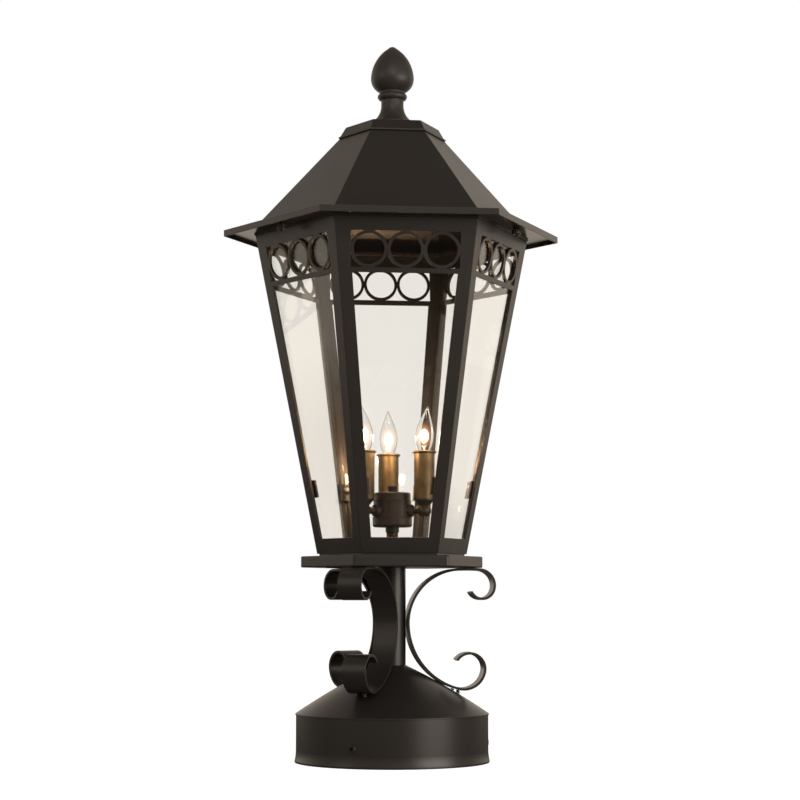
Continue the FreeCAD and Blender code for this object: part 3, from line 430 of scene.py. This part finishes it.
def turned_piece(name, rings, material, sides=SIDES_OF_A_TURNING, closed=True):
    """Rings are (radius, height, shift along X) in millimetres, in the order in which they are drawn."""
    select_nothing()
    radius, height, shift = rings[0]
    bpy.ops.mesh.primitive_circle_add(
        vertices=sides, radius=radius * MM, location=(shift * MM, 0, height * MM),
        fill_type="NGON" if closed else "NOTHING",
    )
    piece = bpy.context.active_object
    piece.name = name
    bpy.ops.object.mode_set(mode="EDIT")
    bpy.ops.mesh.select_all(action="SELECT")
    for next_radius, next_height, next_shift in rings[1:]:
        step = ((next_shift - shift) * MM, 0.0, (next_height - height) * MM)
        if closed:
            bpy.ops.mesh.extrude_region_move(TRANSFORM_OT_translate={"value": step})
        else:
            bpy.ops.mesh.extrude_edges_move(TRANSFORM_OT_translate={"value": step})
        grow = next_radius / radius
        centre = (next_shift * MM, 0.0, next_height * MM)
        bpy.ops.transform.resize(value=(grow, grow, 1.0), center_override=centre)
        radius, height, shift = next_radius, next_height, next_shift
    bpy.ops.mesh.select_all(action="SELECT")
    bpy.ops.mesh.remove_doubles(threshold=MERGE_MM * MM)
    bpy.ops.mesh.normals_make_consistent(inside=False)
    bpy.ops.object.mode_set(mode="OBJECT")
    bpy.ops.object.transform_apply(location=True, rotation=True, scale=True)
    piece.data.materials.append(material)
    return piece


def straight_up(section, foot):
    """Rings on one axis, from pairs of a radius and a rise above the foot."""
    return [(radius, foot + rise, 0) for radius, rise in section]


def apply_modifier(piece, kind, **settings):
    """Add a modifier and apply it at once."""
    bpy.context.view_layer.objects.active = piece
    modifier = piece.modifiers.new(kind.lower(), kind)
    for name, value in settings.items():
        setattr(modifier, name, value)
    bpy.ops.object.modifier_apply(modifier=modifier.name)


print("a turned piece has", SIDES_OF_A_TURNING, "sides")

# %% [markdown]
# The body of the lamp cluster is three pressings, one on the other. A fine bead is rolled round each joint,
# which shows as a thin dark line under a light one. A torus would be quicker, but a bead of rolled sheet has
# a flat face between two slopes, so it is turned. Its section is a closed loop of rings: the last of them
# lands on the first, and merging doubles closes the bead.

# %% Beads of the lamp cluster
BEAD_PROUD_MM = 0.4
BEAD_HALF_MM = 0.6
BEAD_ROOT_MM = 1.6
BEAD_SIDES = 64


def joint_bead(lower_node):
    """A bead round the upper edge of a pressing."""
    low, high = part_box(lower_node)
    radius = (high[0] - low[0]) / 2 / MM
    joint = high[2] / MM
    proud = radius + BEAD_PROUD_MM
    inside = radius - BEAD_ROOT_MM
    section = [
        (inside, -BEAD_HALF_MM),
        (radius, -BEAD_HALF_MM),
        (proud, -BEAD_HALF_MM / 2),
        (proud, BEAD_HALF_MM / 2),
        (radius, BEAD_HALF_MM),
        (inside, BEAD_HALF_MM),
        (inside, -BEAD_HALF_MM),
    ]
    rings = straight_up(section, joint)
    bead = turned_piece(lower_node + "_bead", rings, CLUSTER_COAT, sides=BEAD_SIDES, closed=False)
    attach(bead, "lantern")
    return bead


for pressing in ("cluster_cup", "cluster_barrel"):
    bead = joint_bead(pressing)
    print(bead.name, "is", round(bead.dimensions.x / MM, 1), "mm across")

# %% [markdown]
# The envelope follows the solid that it replaces: a narrow neck, the belly at a third of the height, and a
# tip that is drawn out and bent aside. Subdivision rounds it between the few rings, and Solidify then gives
# it a wall of 0.6 mm, growing inwards so that it stays inside the solid. Each ring is a share of the height,
# of the radius and of the bend.

# %% Lamp envelope
SOCKET_TOP_MM = 392.4
LAMP_PLAY_MM = 0.3
LAMP_FOOT_MM = SOCKET_TOP_MM + LAMP_PLAY_MM
ENVELOPE_TALL_MM = 64.0
ENVELOPE_R_MM = 12.3
TIP_BEND_MM = 4.9
ENVELOPE_WALL_MM = 0.6
ROUNDING_LEVELS = 2
ENVELOPE_RINGS = [
    (0.0, 0.46, 0.0),
    (0.03, 0.47, 0.0),
    (0.10, 0.60, 0.0),
    (0.20, 0.83, 0.0),
    (0.34, 0.99, 0.0),
    (0.46, 0.98, 0.06),
    (0.58, 0.86, 0.17),
    (0.70, 0.67, 0.34),
    (0.80, 0.46, 0.52),
    (0.89, 0.27, 0.74),
    (0.96, 0.13, 0.92),
    (0.998, 0.05, 1.0),
]


def lamp_envelope():
    """The blown glass of a lamp, standing on the lantern's axis."""
    rings = []
    for rise, share, bend in ENVELOPE_RINGS:
        rings.append((share * ENVELOPE_R_MM, LAMP_FOOT_MM + rise * ENVELOPE_TALL_MM, bend * TIP_BEND_MM))
    envelope = turned_piece("lamp_envelope", rings, LAMP_GLASS)
    apply_modifier(envelope, "SUBSURF", levels=ROUNDING_LEVELS, render_levels=ROUNDING_LEVELS)
    apply_modifier(envelope, "SOLIDIFY", thickness=ENVELOPE_WALL_MM * MM, offset=-1.0)
    bpy.ops.object.select_all(action="DESELECT")
    envelope.select_set(True)
    bpy.ops.object.shade_smooth()
    return envelope


envelope = lamp_envelope()
print("envelope:", [round(v / MM, 1) for v in envelope.dimensions], "mm")

# %% [markdown]
# The screw shell is a thin brass tube that is rolled into a coarse round thread, ten turns to the inch.
# Rings alone would make closed grooves and no thread, so one turn of its wave is drawn, and the Screw
# modifier winds it up the shell.

# %% Thread of the lamp shell
SHELL_R_MM = 5.9
SHELL_WALL_MM = 0.3
THREAD_DEPTH_MM = 0.55
THREAD_PITCH_MM = 2.54
THREAD_TURNS = 5
THREAD_STEPS = 24
WAVE_STEPS = 8


def shell_thread(foot_mm):
    """A rolled thread: a wave of one pitch, wound around the shell."""
    select_nothing()
    bpy.ops.mesh.primitive_circle_add(vertices=3, radius=MM)
    thread = bpy.context.active_object
    thread.name = "lamp_thread"
    bpy.ops.object.mode_set(mode="EDIT")
    bpy.ops.mesh.delete(type="VERT")
    mesh = bmesh.from_edit_mesh(thread.data)
    wave = []
    for k in range(WAVE_STEPS + 1):
        share = k / WAVE_STEPS
        radius = SHELL_R_MM - THREAD_DEPTH_MM * (0.5 + 0.5 * math.cos(2 * math.pi * share))
        wave.append(mesh.verts.new((radius * MM, 0.0, (foot_mm + share * THREAD_PITCH_MM) * MM)))
    for low, high in zip(wave, wave[1:]):
        mesh.edges.new((low, high))
    bmesh.update_edit_mesh(thread.data)
    bpy.ops.object.mode_set(mode="OBJECT")
    apply_modifier(
        thread, "SCREW", steps=THREAD_STEPS, render_steps=THREAD_STEPS, iterations=THREAD_TURNS,
        screw_offset=THREAD_PITCH_MM * MM, use_merge_vertices=True, merge_threshold=MERGE_MM * MM,
    )
    apply_modifier(thread, "SOLIDIFY", thickness=SHELL_WALL_MM * MM, offset=-1.0)
    thread.data.materials.append(SHELL_BRASS)
    return thread


print("turns of thread to the inch:", 25.4 / THREAD_PITCH_MM)

# %% [markdown]
# Above the thread the shell widens to a plain skirt that holds the glass. Below it sit the black insulation
# and the contact, a small brass button. All three are turnings.

# %% Lamp shell
SHELL_TALL_MM = 23.0
BUTTON_SECTION = [(1.6, 0.0), (2.4, 0.5), (2.6, 1.6)]
INSULATION_SECTION = [(2.7, 0.0), (4.6, 1.6), (5.2, 4.0)]
SKIRT_TUCK_MM = 0.1
SKIRT_FLARE_MM = 0.8
SKIRT_EDGE_MM = 0.6
SKIRT_TOP_MM = 1.0


def lamp_shell():
    """Button, insulation, skirt and thread, from the foot of the lamp up."""
    foot = LAMP_FOOT_MM - SHELL_TALL_MM
    button_top = foot + BUTTON_SECTION[-1][1]
    insulation_top = button_top + INSULATION_SECTION[-1][1]
    thread_top = insulation_top + THREAD_PITCH_MM * (THREAD_TURNS + 1)
    root = SHELL_R_MM - THREAD_DEPTH_MM
    skirt_rings = [
        (root - SKIRT_TUCK_MM, thread_top - THREAD_PITCH_MM, 0),
        (root, thread_top, 0),
        (SHELL_R_MM, thread_top + SKIRT_FLARE_MM, 0),
        (SHELL_R_MM, LAMP_FOOT_MM + SKIRT_EDGE_MM, 0),
        (SHELL_R_MM - SHELL_WALL_MM, LAMP_FOOT_MM + SKIRT_TOP_MM, 0),
    ]
    button = turned_piece("lamp_button", straight_up(BUTTON_SECTION, foot), SHELL_BRASS)
    insulation = turned_piece("lamp_insulation", straight_up(INSULATION_SECTION, button_top), HOLDER_PLASTIC)
    skirt = turned_piece("lamp_skirt", skirt_rings, SHELL_BRASS)
    return [button, insulation, skirt, shell_thread(insulation_top)]


shell_pieces = lamp_shell()
print("lamp shell pieces:", len(shell_pieces))

# %% [markdown]
# Inside the envelope a glass stem stands on the shell. Two wires of about half a millimetre lead up from it
# and spread, to hold the filament between their ends. The wires could be curves with a thickness, but they
# are nearly straight, so they are thin turnings that lean outwards ring by ring.

# %% Stem and wires
FILAMENT_RISE_MM = 25.4
FILAMENT_MM = LAMP_FOOT_MM + FILAMENT_RISE_MM
FILAMENT_HALF_MM = 3.4
WIRE_R_MM = 0.28
WIRE_SIDES = 8
WIRE_TIP_MM = 0.4
WIRE_STATIONS = [(0.25, LAMP_FOOT_MM + 8.0), (0.3, LAMP_FOOT_MM + 14.0), (0.9, FILAMENT_MM - 3.0)]
STEM_SECTION = [(4.4, 1.1), (3.0, 4.0), (1.7, 8.0), (1.5, 12.0), (0.9, 13.6)]
STEM_SIDES = 16


def lead_wire(direction):
    """A wire from the stem to an end of the filament. Stations are shares of the way out, and heights."""
    reach = FILAMENT_HALF_MM * direction
    rings = [(WIRE_R_MM, height, reach * share) for share, height in WIRE_STATIONS]
    rings += [(WIRE_R_MM, FILAMENT_MM, reach), (WIRE_R_MM / 2, FILAMENT_MM + WIRE_TIP_MM, reach)]
    return turned_piece("lead_wire", rings, ZINC, sides=WIRE_SIDES)


stem_glass = turned_piece("lamp_stem", straight_up(STEM_SECTION, LAMP_FOOT_MM), LAMP_GLASS, sides=STEM_SIDES)
inner_pieces = [stem_glass, lead_wire(1), lead_wire(-1)]
print("filament at", round(FILAMENT_MM, 1), "mm")

# %% [markdown]
# The filament is a fine coil of tungsten between the ends of the wires, white hot. A small circle is the
# section of its wire, and the Screw modifier winds it into a spring. The wire is drawn thicker than the real
# one, which would be lost between two pixels.

# %% Filament
COIL_TURNS = 14
COIL_R_MM = 0.55
COIL_STEPS = 12
TUNGSTEN_R_MM = 0.13
TUNGSTEN_SIDES = 6
TUNGSTEN_GLOW = 40.0


def glowing(name, colour, strength):
    """A surface that only gives light."""
    material, tree, output = new_material(name)
    glow = add(tree, "Emission", Color=linear(colour), Strength=strength)
    tree.links.new(glow.outputs[0], output.inputs["Surface"])
    return material


HOT_TUNGSTEN = glowing("white_hot_tungsten", "ffd9a0", TUNGSTEN_GLOW)


def filament_coil():
    """A spring that is wound upright and then laid across the lamp."""
    select_nothing()
    bpy.ops.mesh.primitive_circle_add(
        vertices=TUNGSTEN_SIDES, radius=TUNGSTEN_R_MM * MM,
        location=(COIL_R_MM * MM, 0, 0), rotation=(math.pi / 2, 0, 0),
    )
    coil = bpy.context.active_object
    coil.name = "filament"
    bpy.ops.object.transform_apply(location=True, rotation=True, scale=True)
    pitch = 2 * FILAMENT_HALF_MM / COIL_TURNS
    apply_modifier(
        coil, "SCREW", steps=COIL_STEPS, render_steps=COIL_STEPS, iterations=COIL_TURNS,
        screw_offset=pitch * MM,
    )
    coil.rotation_euler = (0.0, math.pi / 2, 0.0)
    coil.location = (-FILAMENT_HALF_MM * MM, 0.0, FILAMENT_MM * MM)
    bpy.ops.object.select_all(action="DESELECT")
    coil.select_set(True)
    bpy.ops.object.transform_apply(location=True, rotation=True, scale=True)
    bpy.ops.object.mode_set(mode="EDIT")
    bpy.ops.mesh.select_all(action="SELECT")
    bpy.ops.mesh.fill_holes(sides=TUNGSTEN_SIDES)
    bpy.ops.mesh.normals_make_consistent(inside=False)
    bpy.ops.object.mode_set(mode="OBJECT")
    coil.data.materials.append(HOT_TUNGSTEN)
    return coil


inner_pieces.append(filament_coil())
print("filament with", COIL_TURNS, "turns")

# %% [markdown]
# To the eye and to a camera a lit filament is far larger than it is: a white blob with a warm rim. A lens
# does that, and the renderer has none, so the blob is modelled. Five eggs stand one in the other around the
# filament. The inner one glows far above white, so that a pane mirrors it too, and the outer ones are clear
# and add a little orange. They only glow for what looks at them. The light itself comes from lamps, further
# down.

# %% Glow around the filament
EGG_SEGMENTS = 32
EGG_RINGS = 16
GLOW_EGGS = [
    ("white_heart_of_the_glow", 4.8, 8.0, 12.0, "ffe9cc"),
    ("pale_ring_of_the_glow", 6.2, 10.2, 0.34, "ffdcae"),
    ("yellow_ring_of_the_glow", 7.7, 12.8, 0.12, "ffc888"),
    ("orange_ring_of_the_glow", 9.3, 15.6, 0.06, "ffb066"),
    ("faint_rim_of_the_glow", 11.0, 18.4, 0.03, "ffa050"),
]


def is_seen(tree):
    """1 for rays from the camera, off gloss and through glass, and 0 for light that falls on things."""
    path = add(tree, "LightPath")
    first = add(
        tree, "Math", {0: path.outputs["Is Camera Ray"], 1: path.outputs["Is Glossy Ray"]},
        operation="MAXIMUM",
    )
    second = add(
        tree, "Math", {0: first.outputs[0], 1: path.outputs["Is Transmission Ray"]},
        operation="MAXIMUM",
    )
    return second.outputs[0]


def glow_of(name, strength, colour):
    """Clear, with a little light added, as a lens adds it: white stays white and dark things turn orange."""
    material, tree, output = new_material(name)
    share = add(tree, "Math", {0: is_seen(tree)}, operation="MULTIPLY")
    share.inputs[1].default_value = strength
    glow = add(tree, "Emission", {"Strength": share.outputs[0]}, Color=linear(colour))
    clear = add(tree, "BsdfTransparent")
    both = add(tree, "AddShader", {0: clear.outputs[0], 1: glow.outputs[0]})
    tree.links.new(both.outputs[0], output.inputs["Surface"])
    return material


def glow_egg(name, wide, tall, strength, colour):
    """An egg round the filament, from its half width and half height in millimetres."""
    select_nothing()
    middle = (0, 0, FILAMENT_MM * MM)
    bpy.ops.mesh.primitive_uv_sphere_add(
        segments=EGG_SEGMENTS, ring_count=EGG_RINGS, radius=wide * MM, location=middle,
    )
    egg = bpy.context.active_object
    bpy.ops.object.mode_set(mode="EDIT")
    bpy.ops.mesh.select_all(action="SELECT")
    bpy.ops.transform.resize(value=(1, 1, tall / wide), center_override=middle)
    bpy.ops.object.mode_set(mode="OBJECT")
    bpy.ops.object.transform_apply(location=True, rotation=True, scale=True)
    bpy.ops.object.shade_smooth()
    egg.data.materials.append(glow_of(name, strength, colour))
    return egg


for egg in GLOW_EGGS:
    inner_pieces.append(glow_egg(*egg))
print("eggs of glow:", len(GLOW_EGGS))

# %% [markdown]
# The parts of the lamp are joined into one piece, as the lamp is one piece, and it is copied to the three
# candles. Each copy has its own mesh, stands on its candle and is turned so that its tip leans outwards. The
# copies throw no shadow, so that the light inside each lamp gets out through all its parts.

# %% Three lamps
CANDLE_CIRCLE_MM = 45.1
CANDLE_ANGLES = {"back": 90, "front_left": 210, "front_right": 330}


def on_circle(radius_mm, angle):
    """A place on a circle round the lantern's axis, as X and Y in metres."""
    turn = math.radians(angle)
    out = radius_mm * MM
    return out * math.cos(turn), out * math.sin(turn)


def joined(pieces, name):
    """All pieces as one, under a new name."""
    select_nothing()
    for piece in pieces:
        piece.select_set(True)
    bpy.context.view_layer.objects.active = pieces[0]
    bpy.ops.object.join()
    pieces[0].name = name
    return pieces[0]


lamp = joined([envelope] + shell_pieces + inner_pieces, "lamp")
for name, angle in CANDLE_ANGLES.items():
    select_nothing()
    copy = lamp.copy()
    copy.data = lamp.data.copy()
    copy.name = "lamp_" + name
    bpy.context.scene.collection.objects.link(copy)
    copy.location = (*on_circle(CANDLE_CIRCLE_MM, angle), 0.0)
    copy.rotation_euler = (0.0, 0.0, math.radians(angle))
    copy.select_set(True)
    bpy.context.view_layer.objects.active = copy
    bpy.ops.object.transform_apply(location=True, rotation=True, scale=True)
    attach(copy, "bulb_" + name)
    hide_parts("bulb_" + name)
    copy.visible_shadow = False
bpy.data.objects.remove(lamp)
print("lamps:", len(CANDLE_ANGLES))

# %% [markdown]
# Seen from below, the roof's brim is folded down at its edge, which stiffens the sheet and sheds the rain
# past the joint. The steelwork has two flat plates here. They give way to what they stand for: the roof's
# brim with its folded edge, and the cage's brim, which lies inside that edge. The heights come from the
# plates: the roof's brim keeps its top and its width, and the sheets hang below it, one under the other.

# %% Heights of the brims
BRIM_SHEET_MM = 2.0
FOLD_SHEET_MM = 1.5
FOLD_BELOW_MM = 1.7
BRIM_PLAY_MM = 0.3

brim_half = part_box("roof_brim")[1][1] / MM
roof_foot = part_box("roof_brim")[1][2] / MM
cage_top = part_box("cage_brim")[0][2] / MM
roof_under = roof_foot - BRIM_SHEET_MM
cage_brim_top = roof_under - BRIM_PLAY_MM
cage_brim_under = cage_brim_top - BRIM_SHEET_MM
fold_foot = cage_top - FOLD_BELOW_MM
fold_inside = brim_half - FOLD_SHEET_MM
print("folded edge:", round(roof_foot - fold_foot, 1), "mm tall")

# %% [markdown]
# Both brims are rings with six sides. They could be cut from a plate, but a fold is easier drawn as a
# section and turned like the lamps, with only six sides. A Bevel modifier rounds the edges as a press brake
# does, and a Boolean drills the holes for the thumb screws, which stand at the same three angles as the
# candles.

# %% Rings with six sides
HALF_SIDE_DEG = 30
EDGE_RADIUS_MM = 0.4
EDGE_SEGMENTS = 2
SCREW_CIRCLE_MM = 173.55
SCREW_HOLE_R_MM = 2.7
DRILL_LONG_MM = 40.0


def six_sided(name, section):
    """A ring with six sides. Its section is a loop of half widths across the flats, and heights."""
    to_corner = 1 / math.cos(math.radians(HALF_SIDE_DEG))
    rings = [(half * to_corner, height, 0) for half, height in section + section[:1]]
    ring = turned_piece(name, rings, BRIM_COAT, sides=6, closed=False)
    ring.rotation_euler = (0.0, 0.0, math.radians(HALF_SIDE_DEG))
    bpy.ops.object.transform_apply(location=True, rotation=True, scale=True)
    apply_modifier(ring, "BEVEL", width=EDGE_RADIUS_MM * MM, segments=EDGE_SEGMENTS)
    return ring


def drilled(ring):
    """Drill a ring for the three thumb screws."""
    for angle in CANDLE_ANGLES.values():
        select_nothing()
        bpy.ops.mesh.primitive_cylinder_add(
            vertices=SIDES_OF_A_TURNING, radius=SCREW_HOLE_R_MM * MM, depth=DRILL_LONG_MM * MM,
            location=(*on_circle(SCREW_CIRCLE_MM, angle), cage_top * MM),
        )
        drill = bpy.context.active_object
        apply_modifier(ring, "BOOLEAN", object=drill, operation="DIFFERENCE")
        bpy.data.objects.remove(drill)
    return ring


print("a corner lies", round(brim_half / math.cos(math.radians(HALF_SIDE_DEG)), 1), "mm from the axis")

# %% [markdown]
# The cage's brim rests on the side plates. Next to its opening it is thick enough to reach down to them, and
# further out it is a thin sheet under the roof's brim. There a bush round each thumb screw fills the height
# that is left, so that the head of the screw has something to press on.

# %% Brim on the cage
CAGE_OPENING_MM = 131.0
CAGE_SEAT_MM = 157.0
BUSH_R_MM = 4.4


def screw_bush(x, y):
    """A short tube between the cage's brim and the head of a thumb screw."""
    section = [
        (SCREW_HOLE_R_MM, cage_top),
        (BUSH_R_MM, cage_top),
        (BUSH_R_MM, cage_brim_under),
        (SCREW_HOLE_R_MM, cage_brim_under),
        (SCREW_HOLE_R_MM, cage_top),
    ]
    bush = turned_piece("screw_bush", straight_up(section, 0.0), BRIM_COAT, closed=False)
    bush.location = (x, y, 0.0)
    bpy.ops.object.transform_apply(location=True, rotation=True, scale=True)
    return bush


cage_brim = drilled(six_sided("brim_on_the_cage", [
    (CAGE_OPENING_MM, cage_top),
    (CAGE_SEAT_MM, cage_top),
    (CAGE_SEAT_MM, cage_brim_under),
    (fold_inside - BRIM_PLAY_MM, cage_brim_under),
    (fold_inside - BRIM_PLAY_MM, cage_brim_top),
    (CAGE_OPENING_MM, cage_brim_top),
]))
bushes = [screw_bush(*on_circle(SCREW_CIRCLE_MM, angle)) for angle in CANDLE_ANGLES.values()]
cage_brim = joined([cage_brim] + bushes, "brim_on_the_cage")
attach(cage_brim, "lantern")
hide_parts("cage_brim")
print("bushes on the cage's brim:", len(bushes))

# %% [markdown]
# The roof's brim carries the roof and lifts off with it. Its section is an angle: the level sheet, and the
# fold that hangs from its edge.

# %% Brim of the roof
ROOF_OPENING_MM = 151.4

roof_brim = drilled(six_sided("brim_of_the_roof", [
    (ROOF_OPENING_MM, roof_under),
    (fold_inside, roof_under),
    (fold_inside, fold_foot),
    (brim_half, fold_foot),
    (brim_half, roof_foot),
    (ROOF_OPENING_MM, roof_foot),
]))
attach(roof_brim, "roof")
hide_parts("roof_brim")
print("the roof's brim is", round(roof_brim.dimensions.y / MM, 1), "mm across its flats")

# %% [markdown]
# The lantern stands on a plain pale floor. It is lit like everything else, so it keeps the lantern's shadow,
# and a little light of its own takes it up to the white of the backdrop. In what the satin paint mirrors,
# the floor is darker in front and below, and turns to a warm white behind the lantern (+Y), which only
# grazing faces catch.

# %% Floor
FLOOR_SIZE = 60.0
FLOOR_LIFT = 0.72
FLOOR_COLOUR = "e6e5e3"
MIRRORED_FLOOR = "5e5b56"
MIRRORED_SWEEP = "ded7cc"
SWEEP_FROM = 1.5
SWEEP_TO = 3.0


def is_mirrored(tree):
    """1 for rays that have met a glossy surface on their way, and 0 for all others."""
    path = add(tree, "LightPath")
    after_gloss = add(tree, "Math", {0: path.outputs["Glossy Depth"]}, operation="GREATER_THAN")
    after_gloss.inputs[1].default_value = 0.5
    return after_gloss.outputs[0]


select_nothing()
bpy.ops.mesh.primitive_plane_add(size=FLOOR_SIZE, location=(0, 0, cad_low.z))
floor = bpy.context.active_object
floor.name = "floor"
floor_material, tree, floor_output = new_material("pale_floor")
place = add(tree, "SeparateXYZ", {0: add(tree, "TexCoord").outputs["Object"]})
sweep = add(tree, "MapRange", {"Value": place.outputs["Y"]}, From_Min=SWEEP_FROM, From_Max=SWEEP_TO)
sweep_tone = add(tree, "Mix", {"Factor": sweep.outputs[0]}, data_type="RGBA")
sweep_tone.inputs[MIX_COLOUR_A].default_value = linear(MIRRORED_FLOOR)
sweep_tone.inputs[MIX_COLOUR_B].default_value = linear(MIRRORED_SWEEP)
floor_tone = add(tree, "Mix", {"Factor": is_mirrored(tree)}, data_type="RGBA")
floor_tone.inputs[MIX_COLOUR_A].default_value = linear(FLOOR_COLOUR)
tree.links.new(sweep_tone.outputs[MIX_COLOUR_OUT], floor_tone.inputs[MIX_COLOUR_B])
floor_paint = add(tree, "BsdfDiffuse", {"Color": floor_tone.outputs[MIX_COLOUR_OUT]})
lift = add(tree, "Mix", {"Factor": is_mirrored(tree), "B": sweep.outputs[0]}, A=1.0)
seen_lift = add(tree, "Math", {0: lift.outputs[0], 1: is_seen(tree)}, operation="MULTIPLY")
glow_share = add(tree, "Math", {0: seen_lift.outputs[0]}, operation="MULTIPLY")
glow_share.inputs[1].default_value = FLOOR_LIFT
glow_tone = add(tree, "Mix", {"Factor": is_mirrored(tree)}, data_type="RGBA")
glow_tone.inputs[MIX_COLOUR_A].default_value = linear(WHITE)
glow_tone.inputs[MIX_COLOUR_B].default_value = linear(MIRRORED_SWEEP)
floor_glow = add(
    tree, "Emission",
    {"Color": glow_tone.outputs[MIX_COLOUR_OUT], "Strength": glow_share.outputs[0]},
)
floor_sum = add(tree, "AddShader", {0: floor_paint.outputs[0], 1: floor_glow.outputs[0]})
tree.links.new(floor_sum.outputs[0], floor_output.inputs["Surface"])
floor.data.materials.append(floor_material)
print("floor:", FLOOR_SIZE, "m wide")

# %% [markdown]
# The backdrop is the world itself: plain white where the camera sees it, and weaker as light on the lantern.
# What gloss mirrors of it is a room: a warm white at the back, darker behind the camera and overhead. Real
# walls would do the same, but they would stand in the way of the lights and of other views.

# %% Backdrop and room
AMBIENT = 0.42
MIRRORED_FRONT = 0.52
MIRRORED_CEILING = 0.36
ROOM_TINT = "fff1e0"
WALL_DARK_AT = 0.1
WALL_WHITE_AT = 0.65
CEILING_WHITE_AT = 0.15
CEILING_DARK_AT = 0.65

world = bpy.data.worlds.new("studio")
bpy.context.scene.world = world
world.use_nodes = True
tree = world.node_tree
tree.nodes.clear()
direction = add(tree, "SeparateXYZ", {0: add(tree, "TexCoord").outputs["Generated"]})
walls = add(
    tree, "MapRange", {"Value": direction.outputs["Y"]},
    From_Min=WALL_DARK_AT, From_Max=WALL_WHITE_AT, To_Min=MIRRORED_FRONT, To_Max=1.0,
)
ceiling = add(
    tree, "MapRange", {"Value": direction.outputs["Z"]},
    From_Min=CEILING_WHITE_AT, From_Max=CEILING_DARK_AT, To_Min=1.0, To_Max=MIRRORED_CEILING,
)
mirrored = add(tree, "Math", {0: walls.outputs[0], 1: ceiling.outputs[0]}, operation="MULTIPLY")
seen = add(tree, "Mix", {"Factor": is_mirrored(tree), "B": mirrored.outputs[0]}, A=1.0)
strength = add(tree, "Mix", {"Factor": is_seen(tree), "B": seen.outputs[0]}, A=AMBIENT)
tint = add(tree, "Mix", {"Factor": is_mirrored(tree)}, data_type="RGBA")
tint.inputs[MIX_COLOUR_A].default_value = linear(WHITE)
tint.inputs[MIX_COLOUR_B].default_value = linear(ROOM_TINT)
sky = add(
    tree, "Background",
    {"Color": tint.outputs[MIX_COLOUR_OUT], "Strength": strength.outputs[0]},
)
world_output = tree.nodes.new("ShaderNodeOutputWorld")
tree.links.new(sky.outputs[0], world_output.inputs["Surface"])
print("backdrop and room made")

# %% [markdown]
# Soft studio light: a wide softbox to the right of the camera draws the broad highlight down the skirt and
# the finial, one above the camera lights the cap and the roof, and a weak one on the left keeps that side
# from going black. Each has its width and height, its power, its place, and the point that it faces.

# %% Softboxes
SOFTBOX_COLOUR = "fffaf5"
MIDDLE = (0.0, 0.0, 0.5)
HEAD = (0.0, 0.0, 0.8)
SOFTBOXES = [
    ("key_right", 2.0, 1.2, 38.0, (1.95, -2.0, 0.6), MIDDLE),
    ("front_top", 1.6, 1.0, 12.0, (-0.2, -2.6, 2.1), HEAD),
    ("fill_left", 1.2, 1.6, 5.0, (-2.6, -1.2, 1.3), MIDDLE),
]


def new_light(name, kind, power, colour, place):
    """A light that shows itself neither to the camera nor through glass."""
    data = bpy.data.lights.new(name, kind)
    data.energy = power
    data.color = linear(colour)[:3]
    light = bpy.data.objects.new(name, data)
    bpy.context.scene.collection.objects.link(light)
    light.location = place
    light.visible_camera = False
    light.visible_transmission = False
    return light


for name, wide, tall, power, place, target in SOFTBOXES:
    box = new_light(name, "AREA", power, SOFTBOX_COLOUR, place)
    box.data.shape = "RECTANGLE"
    box.data.size = wide
    box.data.size_y = tall
    box.rotation_euler = (Vector(target) - Vector(place)).to_track_quat("-Z", "Y").to_euler()
print("softboxes:", len(SOFTBOXES))

# %% [markdown]
# Each filament also lights the lantern from inside. A small point light in each lamp does that, in the
# yellowish white of a tungsten lamp. It warms the sleeves, the cluster and the inside of the roof, and the
# brass mirrors it as a soft glint.

# %% Light of the filaments
FILAMENT_POWER = 0.5
FILAMENT_COLOUR = "ffd4a6"
FILAMENT_LIGHT_R_MM = 4.5

for name, angle in CANDLE_ANGLES.items():
    place = (*on_circle(CANDLE_CIRCLE_MM, angle), FILAMENT_MM * MM)
    glow_light = new_light("filament_light_" + name, "POINT", FILAMENT_POWER, FILAMENT_COLOUR, place)
    glow_light.data.shadow_soft_size = FILAMENT_LIGHT_R_MM * MM
print("filament lights:", len(CANDLE_ANGLES))
